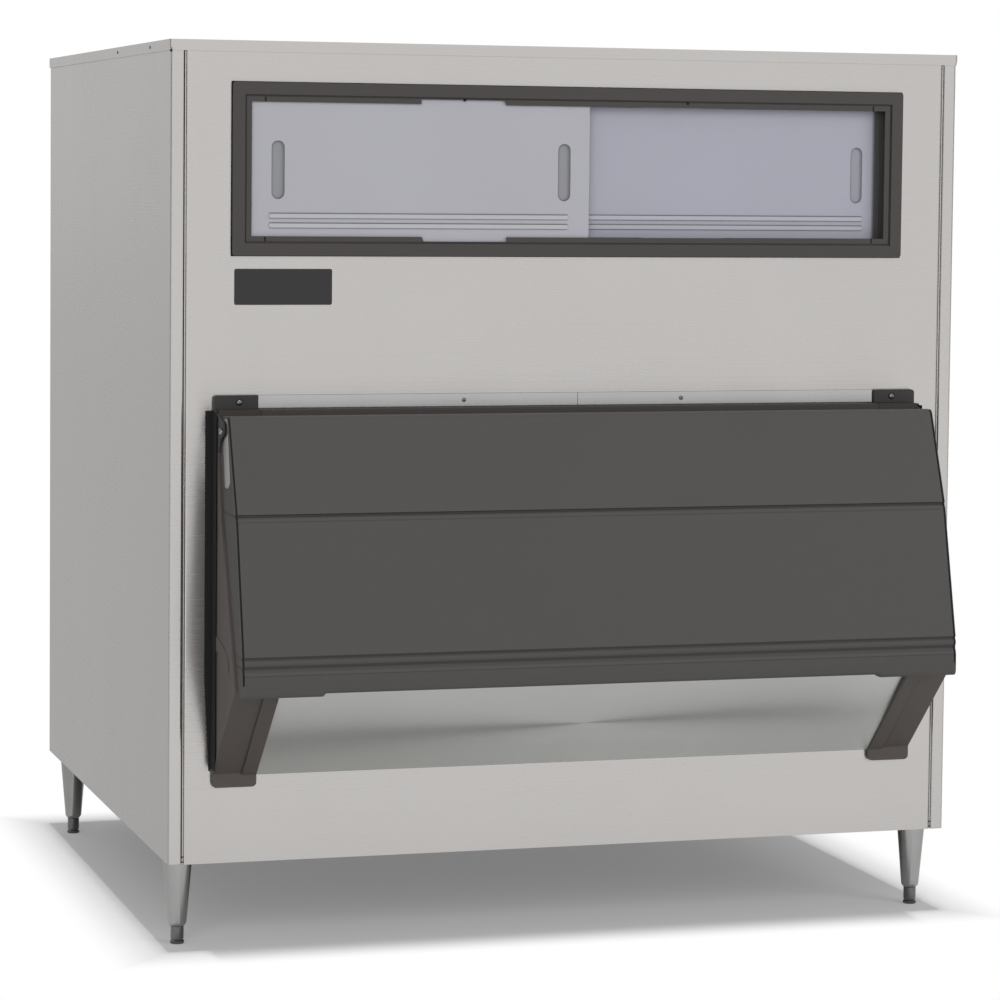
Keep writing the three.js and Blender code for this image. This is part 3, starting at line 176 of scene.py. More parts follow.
def steel(name, colour, grain, roughness=0.26, contrast=0.5, fold_shade=0.0):
    """Brushed stainless steel, with the grain finest along the given scale and painted shade darkening its
    folds.
    """
    scratch_depth = 0.000007
    finish = Finish(name)
    lines = finish.noise(finish.pattern(scale=grain), detail=3.0, roughness=0.6)
    cloud = finish.noise(finish.pattern(), scale=2.2, detail=2.0)
    smear = finish.noise(finish.pattern(scale=(1.0, 1.0, 0.45)), scale=7.0, detail=3.0)
    dark, light = shade(colour, 1 - 0.07 * contrast), shade(colour, 1 + 0.05 * contrast)
    sheet_colour = finish.tint(lines * 0.35 + cloud * 0.65, dark, light)
    # Painted shade: the sheet is darkened along its sharp folds.
    if fold_shade:
        bend_shade_reach = 0.0032
        sheet_colour = finish.tint(finish.edges(bend_shade_reach) * fold_shade, sheet_colour, shade(colour, 0.3))
    return finish.surface(
        Base_Color=sheet_colour,
        Metallic=1.0,
        Roughness=(lines - 0.5) * 0.12 + (smear - 0.5) * 0.08 + roughness,
        Anisotropic=0.82,
        Anisotropic_Rotation=0.25,
        Normal=finish.relief(lines, depth=scratch_depth),
    )


skin_colour = linear(198, 195, 193)
grain_along_side = (3.0, 2.0, 520.0)
grain_along_front = (2.0, 3.0, 520.0)
side_steel = steel("side_steel", skin_colour, grain_along_side, fold_shade=0.7)
front_steel = steel("front_steel", skin_colour, grain_along_front)
back_steel = steel("back_steel", linear(168, 168, 168), grain_along_front, roughness=0.36)


def dress(finish, *names):
    """Gives CAD nodes, whose shape stays as it is, a finish."""
    for name in names:
        mesh = nodes[name].data
        mesh.materials.clear()
        mesh.materials.append(finish)


dress(side_steel, "side_panel_left", "side_panel_right")
dress(front_steel, "front_panel", "top_cap")
dress(back_steel, "back_panel", "base_panel")


# ---------------------------------------------------------------------------
# Cap rivets and seam screws
# Two blind rivets hold each side of the cap, and two small dark screws close the foot of each front seam.
# Aluminium rivets with low domes; the screws are blackened steel with flat heads.


def piece(name, shape, finish, body, slot, *replaced):
    """Makes a finished shape a piece that rides on a body, and stands for CAD nodes where it says so."""
    mesh = bpy.data.meshes.new(name)
    shape.to_mesh(mesh)
    shape.free()
    for layer in ("custom_normal", "sharp_edge"):
        if layer in mesh.attributes:
            mesh.attributes.remove(mesh.attributes[layer])
    curved = [face.use_smooth for face in mesh.polygons]
    mesh.set_sharp_from_angle(angle=math.radians(38))  # sets every face smooth, so the flat ones are set back
    mesh.polygons.foreach_set("use_smooth", curved)
    mesh.materials.clear()
    mesh.materials.append(finish)
    made = bpy.data.objects.new(name, mesh)
    bpy.context.scene.collection.objects.link(made)
    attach(made, body)
    if replaced:
        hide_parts(*replaced)


def turned(profile, steps, place, turn=None):
    """A shape turned on a lathe from [radius, height] points, from its axis round to its axis."""
    shape = bmesh.new()
    points = [shape.verts.new((radius, 0.0, height)) for radius, height in profile]
    edges = [shape.edges.new(pair) for pair in zip(points, points[1:])]
    bmesh.ops.spin(
        shape,
        geom=points + edges,
        cent=(0.0, 0.0, 0.0),
        axis=(0.0, 0.0, 1.0),
        angle=math.tau,
        steps=steps,
        use_merge=True,
    )
    bmesh.ops.remove_doubles(shape, verts=shape.verts, dist=0.000005)
    bmesh.ops.recalc_face_normals(shape, faces=shape.faces)
    for face in shape.faces:
        face.smooth = True
    if turn:
        bmesh.ops.rotate(shape, verts=shape.verts, matrix=turn)
    bmesh.ops.translate(shape, verts=shape.verts, vec=place)
    return shape


def middle(node):
    """The middle of a CAD node's box."""
    low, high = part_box(node)
    return (low + high) / 2


def satin_metal(name, colour, roughness):
    """A small plain metal part, with the faint tooling marks of its making."""
    finish = Finish(name)
    marks = finish.noise(finish.pattern(), scale=1800.0, detail=2.0)
    return finish.surface(
        Base_Color=finish.tint(marks, shade(colour, 0.8), colour),
        Metallic=1.0,
        Roughness=(marks - 0.5) * 0.2 + roughness,
        Normal=finish.relief(marks, depth=0.00002),
    )


rivet_metal = satin_metal("rivet_metal", linear(150, 150, 150), 0.45)
dark_screw_metal = satin_metal("dark_screw_metal", linear(92, 90, 88), 0.5)
sides = ((-1, "left"), (1, "right"))
rivet_seat = 0.7646
rivet_dome = [
    (0.0, -0.0002),
    (0.003, -0.0002),
    (0.003, 0.0002),
    (0.0025, 0.0007),
    (0.0014, 0.0011),
    (0.0, 0.0012),
]
for side, word in sides:
    for number in (1, 2):
        node = f"cap_rivet_{word}_{number}"
        centre = middle(node)
        seat = Vector((side * rivet_seat, centre.y, centre.z))
        dome = turned(rivet_dome, 20, seat, Matrix.Rotation(side * math.pi / 2, 3, "Y"))
        piece(f"cap_rivet_dome_{word}_{number}", dome, rivet_metal, "bin", "side_skin", node)

front_face = -0.5435  # the outer face of the front sheet
facing_front = Matrix.Rotation(math.pi / 2, 3, "X")
seam_middle = 0.7355
seam_screw_heights = (0.165, 0.174)
seam_screw_head = [(0.0, -0.0009), (0.0021, -0.0009), (0.0021, -0.0003), (0.0016, 0.0), (0.0, 0.0002)]
for side, word in sides:
    for number, height in enumerate(seam_screw_heights, 1):
        seat = Vector((side * seam_middle, front_face + 0.0005, height))
        head = turned(seam_screw_head, 16, seat, facing_front)
        piece(f"seam_screw_{word}_{number}", head, dark_screw_metal, "bin", "side_skin")


# ---------------------------------------------------------------------------
# Seam sealant
# A bead of pale grey sealant closes the joint between the front sheet and the post on each side, a little
# below the steel. A dark dab of the same kind fills the relief notch at the cap's left front corner.


def block(low, high):
    """A plain block between two corners, to be cut or rounded further."""
    shape = bmesh.new()
    bmesh.ops.create_cube(shape, size=1.0)
    bmesh.ops.scale(shape, verts=shape.verts, vec=Vector(high) - Vector(low))
    bmesh.ops.translate(shape, verts=shape.verts, vec=(Vector(high) + Vector(low)) / 2)
    return shape


def rounded(shape, edges, width, segments):
    """Rounds some edges of a shape."""
    bmesh.ops.bevel(
        shape,
        geom=edges,
        offset=width,
        offset_type="OFFSET",
        segments=segments,
        profile=0.5,
        affect="EDGES",
        clamp_overlap=True,
        material=-1,
    )
    return shape


def eased(shape, width, segments):
    """Rounds every edge of a shape."""
    return rounded(shape, shape.edges[:], width, segments)


def sealant(name, colour):
    """Cured sealant: smooth where it was wiped, with small hollows and dust."""
    finish = Finish(name)
    wiped = finish.noise(finish.pattern(scale=(1.0, 1.0, 0.15)), scale=160.0, detail=3.0)
    dust = finish.noise(finish.pattern(), scale=900.0, detail=2.0)
    return finish.surface(
        Base_Color=finish.tint(wiped * 0.6 + dust * 0.4, shade(colour, 0.7), colour),
        Roughness=(dust - 0.5) * 0.3 + 0.6,
        Specular_IOR_Level=0.3,
        Normal=finish.relief(wiped, depth=0.0002),
    )


seam_grey = sealant("seam_grey", linear(196, 194, 191))
bead_low, bead_high = 0.1605, 1.6315
bead_inner, bead_outer = 0.73405, 0.73610
for side, word in sides:
    near, far = sorted((side * bead_inner, side * bead_outer))
    bead = block((near, front_face + 0.0005, bead_low), (far, front_face + 0.0030, bead_high))
    piece("seam_sealant_" + word, eased(bead, 0.0004, 2), seam_grey, "bin", "side_skin")
notch_dab = eased(block((-0.7638, -0.5462, 1.6292), (-0.7602, -0.5428, 1.6336)), 0.0006, 2)
piece("cap_corner_dab", notch_dab, sealant("notch_black", linear(34, 33, 33)), "bin", "side_skin")


# ---------------------------------------------------------------------------
# Legs and screw feet
# Each leg is a tapered tube of polished stainless steel, turned on a lathe, on a plate under the base tray.
# A round foot screws out of its bottom end, with a groove round it to grip and a flat sole.


def polished(name, colour, roughness):
    """Polished turned steel, with fine lines round it."""
    finish = Finish(name)
    lines = finish.noise(finish.pattern(scale=(4.0, 4.0, 1600.0)), detail=2.0)
    haze = finish.noise(finish.pattern(), scale=26.0, detail=2.0)
    return finish.surface(
        Base_Color=finish.tint(haze, shade(colour, 0.86), colour),
        Metallic=1.0,
        Roughness=(lines - 0.5) * 0.1 + (haze - 0.5) * 0.08 + roughness,
        Normal=finish.relief(lines, depth=0.00003),
    )


leg_steel = polished("leg_steel", linear(186, 187, 185), 0.08)
foot_steel = polished("foot_steel", linear(128, 129, 127), 0.2)
leg_profile = [
    (0.0, 0.0330),
    (0.0127, 0.0330),
    (0.0135, 0.0338),
    (0.0164, 0.0376),
    (0.0168, 0.0392),
    (0.0267, 0.1556),
    (0.0270, 0.1576),
    (0.0270, 0.1602),
    (0.0264, 0.1610),
    (0.0, 0.1610),
]
foot_profile = [
    (0.0, 0.0),
    (0.0120, 0.0),
    (0.0128, 0.0008),
    (0.0128, 0.0052),
    (0.0120, 0.0062),
    (0.0106, 0.0068),
    (0.0106, 0.0082),
    (0.0120, 0.0090),
    (0.0120, 0.0320),
    (0.0114, 0.0327),
    (0.0, 0.0327),
]
foot_stem = [(0.0, 0.0325), (0.0079, 0.0325), (0.0079, 0.0900), (0.0070, 0.0926), (0.0, 0.0926)]
for corner in ("front_left", "front_right", "back_left", "back_right"):
    spot = middle("leg_" + corner)
    floor_spot = Vector((spot.x, spot.y, 0.0))
    leg = turned(leg_profile, 48, floor_spot)
    piece("tapered_leg_" + corner, leg, leg_steel, "bin", "polished", "leg_" + corner)
    foot = turned(foot_profile, 40, floor_spot)
    piece("screw_foot_" + corner, foot, foot_steel, "foot_" + corner, "polished", "foot_" + corner)
    stem = turned(foot_stem, 24, floor_spot)
    piece("foot_stem_" + corner, stem, foot_steel, "foot_" + corner, "polished")
    dress(back_steel, "leg_plate_" + corner)


# ---------------------------------------------------------------------------
# Liner, chute and drain
# One pale polyethylene tub fills the cabinet, with a plastic chute as its sill and a white drain tube with a
# black nut through its back. Rotationally moulded: slightly cloudy, with a soft satin surface.


def moulded(
    name,
    colour,
    roughness=0.5,
    stipple=900.0,
    depth=0.00005,
    cloud_share=0.06,
    level=0.4,
    painted_edge_tone=1.28,
    crevice_shade_range=(0.25, 0.85),
    shade_bands=(),
):
    """Moulded plastic: a fine stipple and faint clouds, worn along its edges, with painted light on its edges
    and painted shade in its grooves.

    The edge tone paints the edges lighter as highlight above 1 and darker as shade below 1. The shade bands
    are [low, high, share] heights between which more painted shade lies, such as along a crease.
    """
    wear_reach, groove_reach, band_edge = 0.0014, 0.006, 0.0006
    finish = Finish(name)
    place = finish.pattern()
    grain = finish.noise(place, scale=stipple, detail=2.0, roughness=0.6)
    cloud = finish.noise(finish.pattern(scale=(1.0, 1.0, 0.6)), scale=5.0, detail=3.0)
    patches = finish.noise(place, scale=38.0, detail=2.0).between(0.3, 0.7)
    # The edges: patchy wear, and a painted highlight or painted shade as the edge tone is above or below 1.
    edge_wear_and_painted_light = finish.edges(wear_reach) * (patches * 0.6 + 0.25)
    dark, light, shaded_colour = shade(colour, 1 - cloud_share), shade(colour, 1 + cloud_share), shade(colour, 0.3)
    plain = finish.tint(cloud * 0.7 + grain * 0.3, dark, light)
    # Painted shade in corners and grooves.
    plain = finish.tint(finish.crevice_shade(groove_reach, *crevice_shade_range), plain, shaded_colour)
    height = finish.across(place, 2)
    # Painted shade in bands, such as along a crease.
    for low, high, share in shade_bands:
        shade_band = height.between(low - band_edge, low) - height.between(high, high + band_edge)
        plain = finish.tint(shade_band * share, plain, shaded_colour)
    return finish.surface(
        Base_Color=finish.tint(edge_wear_and_painted_light, plain, shade(colour, painted_edge_tone)),
        Roughness=(grain - 0.5) * 0.16 + (cloud - 0.5) * 0.1 + roughness - edge_wear_and_painted_light * 0.12,
        Specular_IOR_Level=level,
        Normal=finish.relief(grain, depth=depth),
    )


liner_white = linear(214, 217, 221)
liner_plastic = moulded("liner_plastic", liner_white, roughness=0.45, stipple=420.0, cloud_share=0.03)
black_plastic = moulded("black_plastic", linear(40, 38, 40), roughness=0.42, stipple=1300.0)
dress(liner_plastic, "bin_liner", "ice_chute", "drain_fitting")
dress(black_plastic, "drain_nut")
dress(rivet_metal, "drain_strainer")


# ---------------------------------------------------------------------------
# Window frame
# A dark grey moulded frame round the upper opening, clipped over the cut edge of the front sheet.
# Three lips make its two tracks. Black fillers of painted shade sit in the small joints where the tracks are
# let in at the corners and in the nicks, and a thin black strip of painted shade shows as a dark line round
# the frame's edge, where its shadow falls on the sheet.


def smooth_narrow(shape):
    """Shades a shape's narrow faces smooth, which are its rounded edges, and leaves its broad ones flat."""
    narrow = 0.0062
    for face in shape.faces:
        face.smooth = 2 * face.calc_area() / face.calc_perimeter() < narrow
    return shape


def cut(shape, *cutters):
    """Cuts solid shapes away from a shape."""

    def stand_in(part):
        mesh = bpy.data.meshes.new("part_of_a_cut")
        part.to_mesh(mesh)
        part.free()
        thing = bpy.data.objects.new("part_of_a_cut", mesh)
        bpy.context.scene.collection.objects.link(thing)
        return thing

    body = stand_in(shape)
    tools = [stand_in(cutter) for cutter in cutters]
    for tool in tools:
        step = body.modifiers.new("cut", "BOOLEAN")
        step.operation = "DIFFERENCE"
        step.solver = "EXACT"
        step.object = tool
    made = bmesh.new()
    made.from_mesh(body.evaluated_get(bpy.context.evaluated_depsgraph_get()).to_mesh())
    for thing in [body] + tools:
        bpy.data.objects.remove(thing)
    return smooth_narrow(made)


def copied(node):
    """A copy of a CAD node's mesh with its triangles joined up."""
    shape = bmesh.new()
    shape.from_mesh(nodes[node].data)
    bmesh.ops.remove_doubles(shape, verts=shape.verts, dist=0.00002)
    return shape


def softened(node, width, first=None, cutters=()):
    """A copy of a CAD node, cut further, with its flat faces made whole and its sharp edges rounded."""
    flat, steep = math.radians(1.0), math.radians(28)
    shape = cut(copied(node), *cutters) if cutters else copied(node)
    bmesh.ops.dissolve_limit(shape, angle_limit=flat, verts=shape.verts, edges=shape.edges)
    if first:
        first(shape)
    edges = [edge for edge in shape.edges if len(edge.link_faces) == 2 and edge.calc_face_angle() > steep]
    return smooth_narrow(rounded(shape, edges, width, 2))


frame_plastic = moulded("frame_plastic", linear(66, 63, 62), roughness=0.5, stipple=1100.0, level=0.3)
# Black plastic for the fillers and strips of painted shade round the frame.
frame_shade_black = moulded("frame_shade_black", linear(22, 21, 22), roughness=0.75, stipple=500.0, level=0.2)
lip_middle, lip_half = 1.4217, 0.1210
joint_place, nick_place = 0.5900, 0.2165
nick_height = lip_middle + lip_half + 0.0085


def joint_block(side, end, half_width, front, back, start, stop):
    """A block in the joint of one track's corner, that starts and stops some way past the lip's edge."""
    heights = sorted((lip_middle + end * (lip_half + start), lip_middle + end * (lip_half + stop)))
    left, right = side * joint_place - half_width, side * joint_place + half_width
    return block((left, front, heights[0]), (right, back, heights[1]))


slits = []
for side in (-1, 1):
    for end in (-1, 1):
        span = {"front": -0.5520, "back": -0.5462, "start": -0.003, "stop": 0.0092}
        slits.append(joint_block(side, end, half_width=0.0011, **span))
    nick = bmesh.new()
    nick_size = {"segments": 16, "radius1": 0.0021, "radius2": 0.0021, "depth": 0.006}
    bmesh.ops.create_cone(nick, cap_ends=True, **nick_size)
    bmesh.ops.rotate(nick, verts=nick.verts, matrix=facing_front)
    bmesh.ops.translate(nick, verts=nick.verts, vec=(side * nick_place, -0.5490, nick_height))
    slits.append(nick)
window_frame = softened("window_frame", 0.0006, cutters=slits)
piece("moulded_window_frame", window_frame, frame_plastic, "bin", "frame_plastic", "window_frame")

# Black fillers in the track joints and plugs in the nicks: painted shade in the cuts.
shade_plug_profile = [(0.0, 0.0), (0.0028, 0.0), (0.0028, 0.0026), (0.0024, 0.0029), (0.0, 0.0029)]
for side, across in sides:
    for end, word in ((-1, "low"), (1, "high")):
        span = {"front": -0.5501, "back": -0.5472, "start": 0.0003, "stop": 0.0088}
        shade_filler = eased(joint_block(side, end, half_width=0.0014, **span), 0.0003, 1)
        piece(f"joint_shade_filler_{across}_{word}", shade_filler, frame_shade_black, "bin", "gasket")
    shade_plug = turned(shade_plug_profile, 20, (side * nick_place, -0.5472, nick_height), facing_front)
    piece("nick_shade_plug_" + across, shade_plug, frame_shade_black, "bin", "gasket")

# A thin black strip round the frame's edge: painted shade where the frame's shadow line falls.
low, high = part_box("window_frame")
shown, under, lap = 0.0013, 0.0060, 0.0050  # how far the black strip of painted shade shows, goes under the frame, and overlaps
strips = {
    "left": ((low.x - shown, low.z - shown), (low.x + under, high.z + shown)),
    "right": ((high.x - under, low.z - shown), (high.x + shown, high.z + shown)),
    "top": ((low.x + lap, high.z - under), (high.x - lap, high.z + shown)),
    "bottom": ((low.x + lap, low.z - shown), (high.x - lap, low.z + under)),
}
for word, (start, end) in strips.items():
    strip = block((start[0], front_face - 0.0027, start[1]), (end[0], front_face - 0.0002, end[1]))
    piece("window_shade_strip_" + word, eased(strip, 0.0008, 2), frame_shade_black, "bin", "gasket")


# ---------------------------------------------------------------------------
# Sliding panels
# Two silver-grey moulded panels, the left one in the front track and the right one behind it.
# Each has two long ribs low down and recessed slots for the fingers, all with soft moulded edges.


def frosted_panel(name, face, rib_ends, hollow, dark, light):
    """Silver-grey frosted plastic, with painted shade in its finger recesses, corners, beside its ribs and at
    its right rim, and painted highlight on its edges and rib crests.
    """
    rib_heights = ((1.3157, 1.3247), (1.3332, 1.3422))
    end_step, crest_step, line_half, line_fade = 0.0004, 0.0010, 0.0004, 0.0016
    finish = Finish(name)
    place = finish.pattern()
    grain = finish.noise(place, scale=700.0, detail=2.0, roughness=0.6)
    cloud = finish.noise(finish.pattern(scale=(1.0, 1.0, 0.5)), scale=4.0, detail=3.0)
    across, out, height = (finish.across(place, axis) for axis in (0, 1, 2))
    plain = finish.tint(cloud * 0.7 + grain * 0.3, dark, light)
    # Painted shade in the finger recesses, deeper as they sink.
    sunk = out.between(face + 0.0008, face + 0.0045)
    plain = finish.tint(sunk * hollow, plain, linear(118, 119, 121))
    # Painted shade in corners and grooves, then a painted highlight along the edges.
    plain = finish.tint(finish.crevice_shade(0.0045, 0.5, 0.96), plain, linear(66, 66, 69))
    plain = finish.tint(finish.edges(0.0014) * 0.9, plain, linear(204, 205, 209))
    started, ended = (across.between(end - end_step, end + end_step) for end in rib_ends)
    along = started - ended
    # A painted highlight on each rib's crest, and painted shade lines along its two edges.
    for low, high in rib_heights:
        rib_highlight = height.between(low, low + crest_step) - height.between(high - crest_step, high)
        plain = finish.tint(rib_highlight * along * 0.35, plain, linear(190, 191, 195))
        for edge, share in ((low, 0.55), (high, 0.85)):
            line_start = height.between(edge - line_fade, edge - line_half)
            line = line_start - height.between(edge + line_half, edge + line_fade)
            plain = finish.tint(line * along * share, plain, linear(96, 97, 100))
    # Painted shade along the right panel's right rim.
    rim_shade = across.between(0.598, 0.607)
    return finish.surface(
        Base_Color=finish.tint(rim_shade, plain, linear(74, 74, 75)),
        Roughness=(grain - 0.5) * 0.14 + (cloud - 0.5) * 0.1 + 0.4,
        Specular_IOR_Level=0.35,
        Normal=finish.relief(grain, depth=0.00003),
    )


def scooped(shape, floor):
    """Rounds the foot of every finger recess, so that it is hollow like a spoon."""
    feet = [edge for edge in shape.edges if all(abs(vert.co.y - floor) < 0.0002 for vert in edge.verts)]
    feet = [edge for edge in feet if len(edge.link_faces) == 2 and edge.calc_face_angle() > 1.2]
    return rounded(shape, feet, 0.0054, 6)


recess_depth = 0.006
panels = {  # each panel's front face, the ends of its ribs, how much painted shade its recesses get, and its two shades, the right panel's painted darker and bluer as shade
    "left": (-0.5445, (-0.5815, -0.0150), 0.65, linear(162, 162, 168), linear(171, 171, 178)),
    "right": (-0.5215, (0.0250, 0.5815), 0.4, linear(155, 156, 166), linear(164, 165, 177)),
}
for word, (face, *look) in panels.items():
    node = "sliding_panel_" + word
    panel = softened(node, 0.0006, first=lambda shape: scooped(shape, face + recess_depth))
    finish = frosted_panel("panel_plastic_" + word, face, *look)
    piece("moulded_" + node, panel, finish, word + "_panel", "window_panel", node)


# ---------------------------------------------------------------------------
# Name plate
# A thin black plastic plate, fixed to the front sheet under the window's left end and left bare.
# Its four corners are rounded, and then the rim of its front face is eased.

low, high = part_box("badge_plate")
name_plate = block(low, high)
corner_radius, rim_radius = 0.0034, 0.0008
corners = [edge for edge in name_plate.edges if abs(edge.verts[0].co.y - edge.verts[1].co.y) > 0.001]
rounded(name_plate, corners, corner_radius, 5)
rims = [edge for edge in name_plate.edges if all(vert.co.y < low.y + 0.0001 for vert in edge.verts)]
rounded(name_plate, rims, rim_radius, 3)
piece("bare_name_plate", name_plate, black_plastic, "bin", "black_plastic", "badge_plate")


# ---------------------------------------------------------------------------
# Snout
# Two moulded cheeks stand on the front sheet and carry the door, each with an arm down to its foot; beside
# each cheek lie black strips of painted shadow and dark reflection. A header joins them over the opening, and
# a bright sheet apron closes the space between the arms.

# The snout's plastic has its edges painted darker as shade, and a band of painted shade over its tops under
# the trim strips.
snout_plastic = moulded(
    "snout_plastic",
    linear(79, 73, 70),
    roughness=0.52,
    stipple=800.0,
    depth=0.00008,
    level=0.3,
    painted_edge_tone=0.35,
    crevice_shade_range=(0.5, 0.95),
    shade_bands=[(0.970, 1.2, 0.85)],
)
bracket_plastic = moulded("bracket_plastic", linear(55, 53, 53), roughness=0.5, stipple=1100.0, level=0.3)
# The header's plastic is a darker copy of the snout's: painted shade, as the header lies under the trim.
shaded_header_plastic = moulded("shaded_header_plastic", linear(56, 53, 51), roughness=0.55, stipple=800.0, level=0.25)
for word in ("left", "right"):
    node = "side_cheek_" + word
    piece("moulded_cheek_" + word, softened(node, 0.0015), snout_plastic, "bin", "snout_plastic", node)
    node = "hinge_bracket_" + word
    piece("moulded_bracket_" + word, softened(node, 0.0007), bracket_plastic, "bin", "frame_plastic", node)
header = softened("snout_header", 0.001)
piece("moulded_header", header, shaded_header_plastic, "bin", "snout_plastic", "snout_header")
# The apron's steel is a lighter copy of the front's: painted light that makes up for the shade under the door.
lightened_apron_steel = steel("lightened_apron_steel", linear(211, 212, 209), grain_along_front, roughness=0.4, contrast=0.4)
dress(lightened_apron_steel, "apron_panel")

# Beside each cheek, a black strip of painted shadow and dark reflection lies on the front sheet and narrows to
# a toe, and a black sheet of painted shade covers the cheek's side next to the front sheet.
# Black for the painted shadow and shade round the snout.
painted_shadow_black = moulded("painted_shadow_black", linear(35, 35, 36), roughness=0.75, stipple=500.0, level=0.2)
shadow_top, taper_start, toe_setback = 0.9860, 0.5, 0.0085
shadow_inner, shadow_outer = 0.6846, 0.6965
side_shade_inner, side_shade_outer = 0.6845, 0.6857
for side, word, shadow_foot in ((-1, "left", 0.3300), (1, "right", 0.4000)):
    near, far = sorted((side * shadow_inner, side * shadow_outer))
    shadow_strip = block((near, front_face - 0.0023, shadow_foot), (far, front_face - 0.0002, shadow_top))
    parts = shadow_strip.verts[:] + shadow_strip.edges[:] + shadow_strip.faces[:]
    bmesh.ops.bisect_plane(shadow_strip, geom=parts, plane_co=(0.0, 0.0, taper_start), plane_no=(0.0, 0.0, 1.0))
    outer_verts = [vert for vert in shadow_strip.verts if abs(vert.co.x) > (shadow_inner + shadow_outer) / 2]
    toe = [vert for vert in outer_verts if vert.co.z < shadow_foot + 0.01]
    bmesh.ops.translate(shadow_strip, verts=toe, vec=(-side * toe_setback, 0.0, 0.0))
    piece("cheek_shadow_" + word, eased(shadow_strip, 0.0006, 2), painted_shadow_black, "bin", "gasket")
    near, far = sorted((side * side_shade_inner, side * side_shade_outer))
    side_shade_foot, side_shade_top = shadow_foot + 0.006, shadow_top - 0.001
    side_shade = block((near, front_face - 0.0427, side_shade_foot), (far, front_face - 0.0015, side_shade_top))
    piece("cheek_side_shade_" + word, eased(side_shade, 0.0004, 2), painted_shadow_black, "bin", "gasket")


# ---------------------------------------------------------------------------
# Trim strips, screws and pins
# Two lengths of bright steel strip cover the top of the snout, each held by one round-headed screw.
# A larger screw holds each bracket, with a black ring of painted shade round its head, and a shoulder pin with
# a socket head is each hinge.

trim_steel = steel("trim_steel", linear(188, 188, 188), (1.0, 1.0, 900.0), roughness=0.22, contrast=0.25)
dress(trim_steel, "trim_strip_left", "trim_strip_right")

screw_metal = satin_metal("screw_metal", linear(186, 186, 184), 0.28)
screw_profile = [
    (0.0, -0.0100),
    (0.0019, -0.0100),
    (0.0019, 0.0),
    (0.0042, 0.0),
    (0.0042, 0.0007),
    (0.0039, 0.0014),
    (0.0031, 0.0021),
    (0.0019, 0.0025),
    (0.0008, 0.0026),
    (0.0, 0.0026),
]


def screw(place, size):
    """A round-headed screw that faces forward, with a cross let into its head."""
    crown, spoke_half, cross_depth = 0.0024, 0.0003, 0.0013
    shape = turned(screw_profile, 24, (0.0, 0.0, 0.0))
    spokes = [
        vert
        for vert in shape.verts
        if vert.co.z > crown and (abs(vert.co.x) < spoke_half or abs(vert.co.y) < spoke_half)
    ]
    bmesh.ops.translate(shape, verts=spokes, vec=(0.0, 0.0, -cross_depth))
    bmesh.ops.rotate(shape, verts=shape.verts, matrix=Matrix.Rotation(math.radians(50), 3, "Z"))
    bmesh.ops.rotate(shape, verts=shape.verts, matrix=facing_front)
    bmesh.ops.scale(shape, verts=shape.verts, vec=(size, 1.0, size))
    bmesh.ops.translate(shape, verts=shape.verts, vec=place)
    return shape


# A black ring under each bracket screw's head: painted shade round the head.
shade_ring_profile = [(0.0, 0.0), (0.0064, 0.0), (0.0064, 0.0003), (0.0058, 0.0006), (0.0, 0.0006)]
head_height = 0.0026
for kind, size in (("strip_screw_", 0.95), ("bracket_screw_", 1.2)):
    for word in ("left", "right"):
        node = kind + word
        seat = middle(node)
        seat.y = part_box(node)[0].y + head_height
        piece("round_" + node, screw(seat, size), screw_metal, "bin", "polished", node)
        if kind == "bracket_screw_":
            shade_ring = turned(shade_ring_profile, 28, seat, facing_front)
            piece("screw_shade_ring_" + word, shade_ring, painted_shadow_black, "bin", "black_plastic")

pin_profile = [
    (0.0, -0.0140),
    (0.0036, -0.0140),
    (0.0040, -0.0136),
    (0.0040, 0.0),
    (0.0060, 0.0),
    (0.0060, 0.0036),
    (0.0052, 0.0044),
    (0.0026, 0.0044),
    (0.0026, 0.0022),
    (0.0, 0.0022),
]
for side, word in sides:
    seat = (side * 0.6833, -0.6215, 0.9540)
    pin = turned(pin_profile, 24, seat, Matrix.Rotation(side * math.pi / 2, 3, "Y"))
    piece("shoulder_pin_" + word, pin, screw_metal, "bin", "polished", "hinge_pin_" + word)


# ---------------------------------------------------------------------------
# Door
# A deep hollow moulding in dark grey polyethylene with a creased front, two beads over its bottom edge and a
# pad at each end that meets the arms. Its ends are sunk for the hinge plates and its back for the inner sheet.
# A gasket runs round its back, and a black bead of painted shade and dark reflection fills the seam down each
# end of its front.

# Heights of the door are above the cabinet's bottom edge, and "out" is forward of the front sheet.
cabinet_bottom = 0.160
door_half = 0.6787
end_rim = 0.0045
pad_inner, pad_slant, pad_drop = 0.531, 0.006, 0.0055
sheet_set = 0.0033
sheet_low, sheet_high = 0.3527, 0.7803
bend_out, bend_height = 0.078, 0.636  # where the door's back turns outwards


def rear_out(height):
    """How far out the door's back is at a height below its bend."""
    slope = (0.195 - bend_out) / (bend_height - 0.356)
    return bend_out + (bend_height - height) * slope


def door_section(drop, sink):
    """The door's section in [out, height] points, with its bottom lowered and its back sunk for the sheet."""
    return [
        (0.0510, 0.8210),
        (0.1030, 0.8210),
        (0.1708, 0.6528),
        (0.1688, 0.6506),
        (0.1690, 0.6482),
        (0.1744, 0.6406),
        (0.1739, 0.6392),
        (0.1754, 0.6360),
        (0.2310, 0.4080),
        (0.2285, 0.4040),
        (0.2322, 0.3985),
        (0.2325, 0.3950),
        (0.2298, 0.3865),
        (0.2332, 0.3790),
        (0.2345, 0.3740),
        (0.2350, 0.3620 - drop),
        (0.2350, 0.3395 - drop),
        (rear_out(0.3395 - drop), 0.3395 - drop),
        (rear_out(sheet_low), sheet_low),
        (rear_out(sheet_low) + sink, sheet_low),
        (bend_out + sink, bend_height),
        (0.0510 + sink, 0.7450),
        (0.0510 + sink, sheet_high),
        (0.0510, sheet_high),
    ]


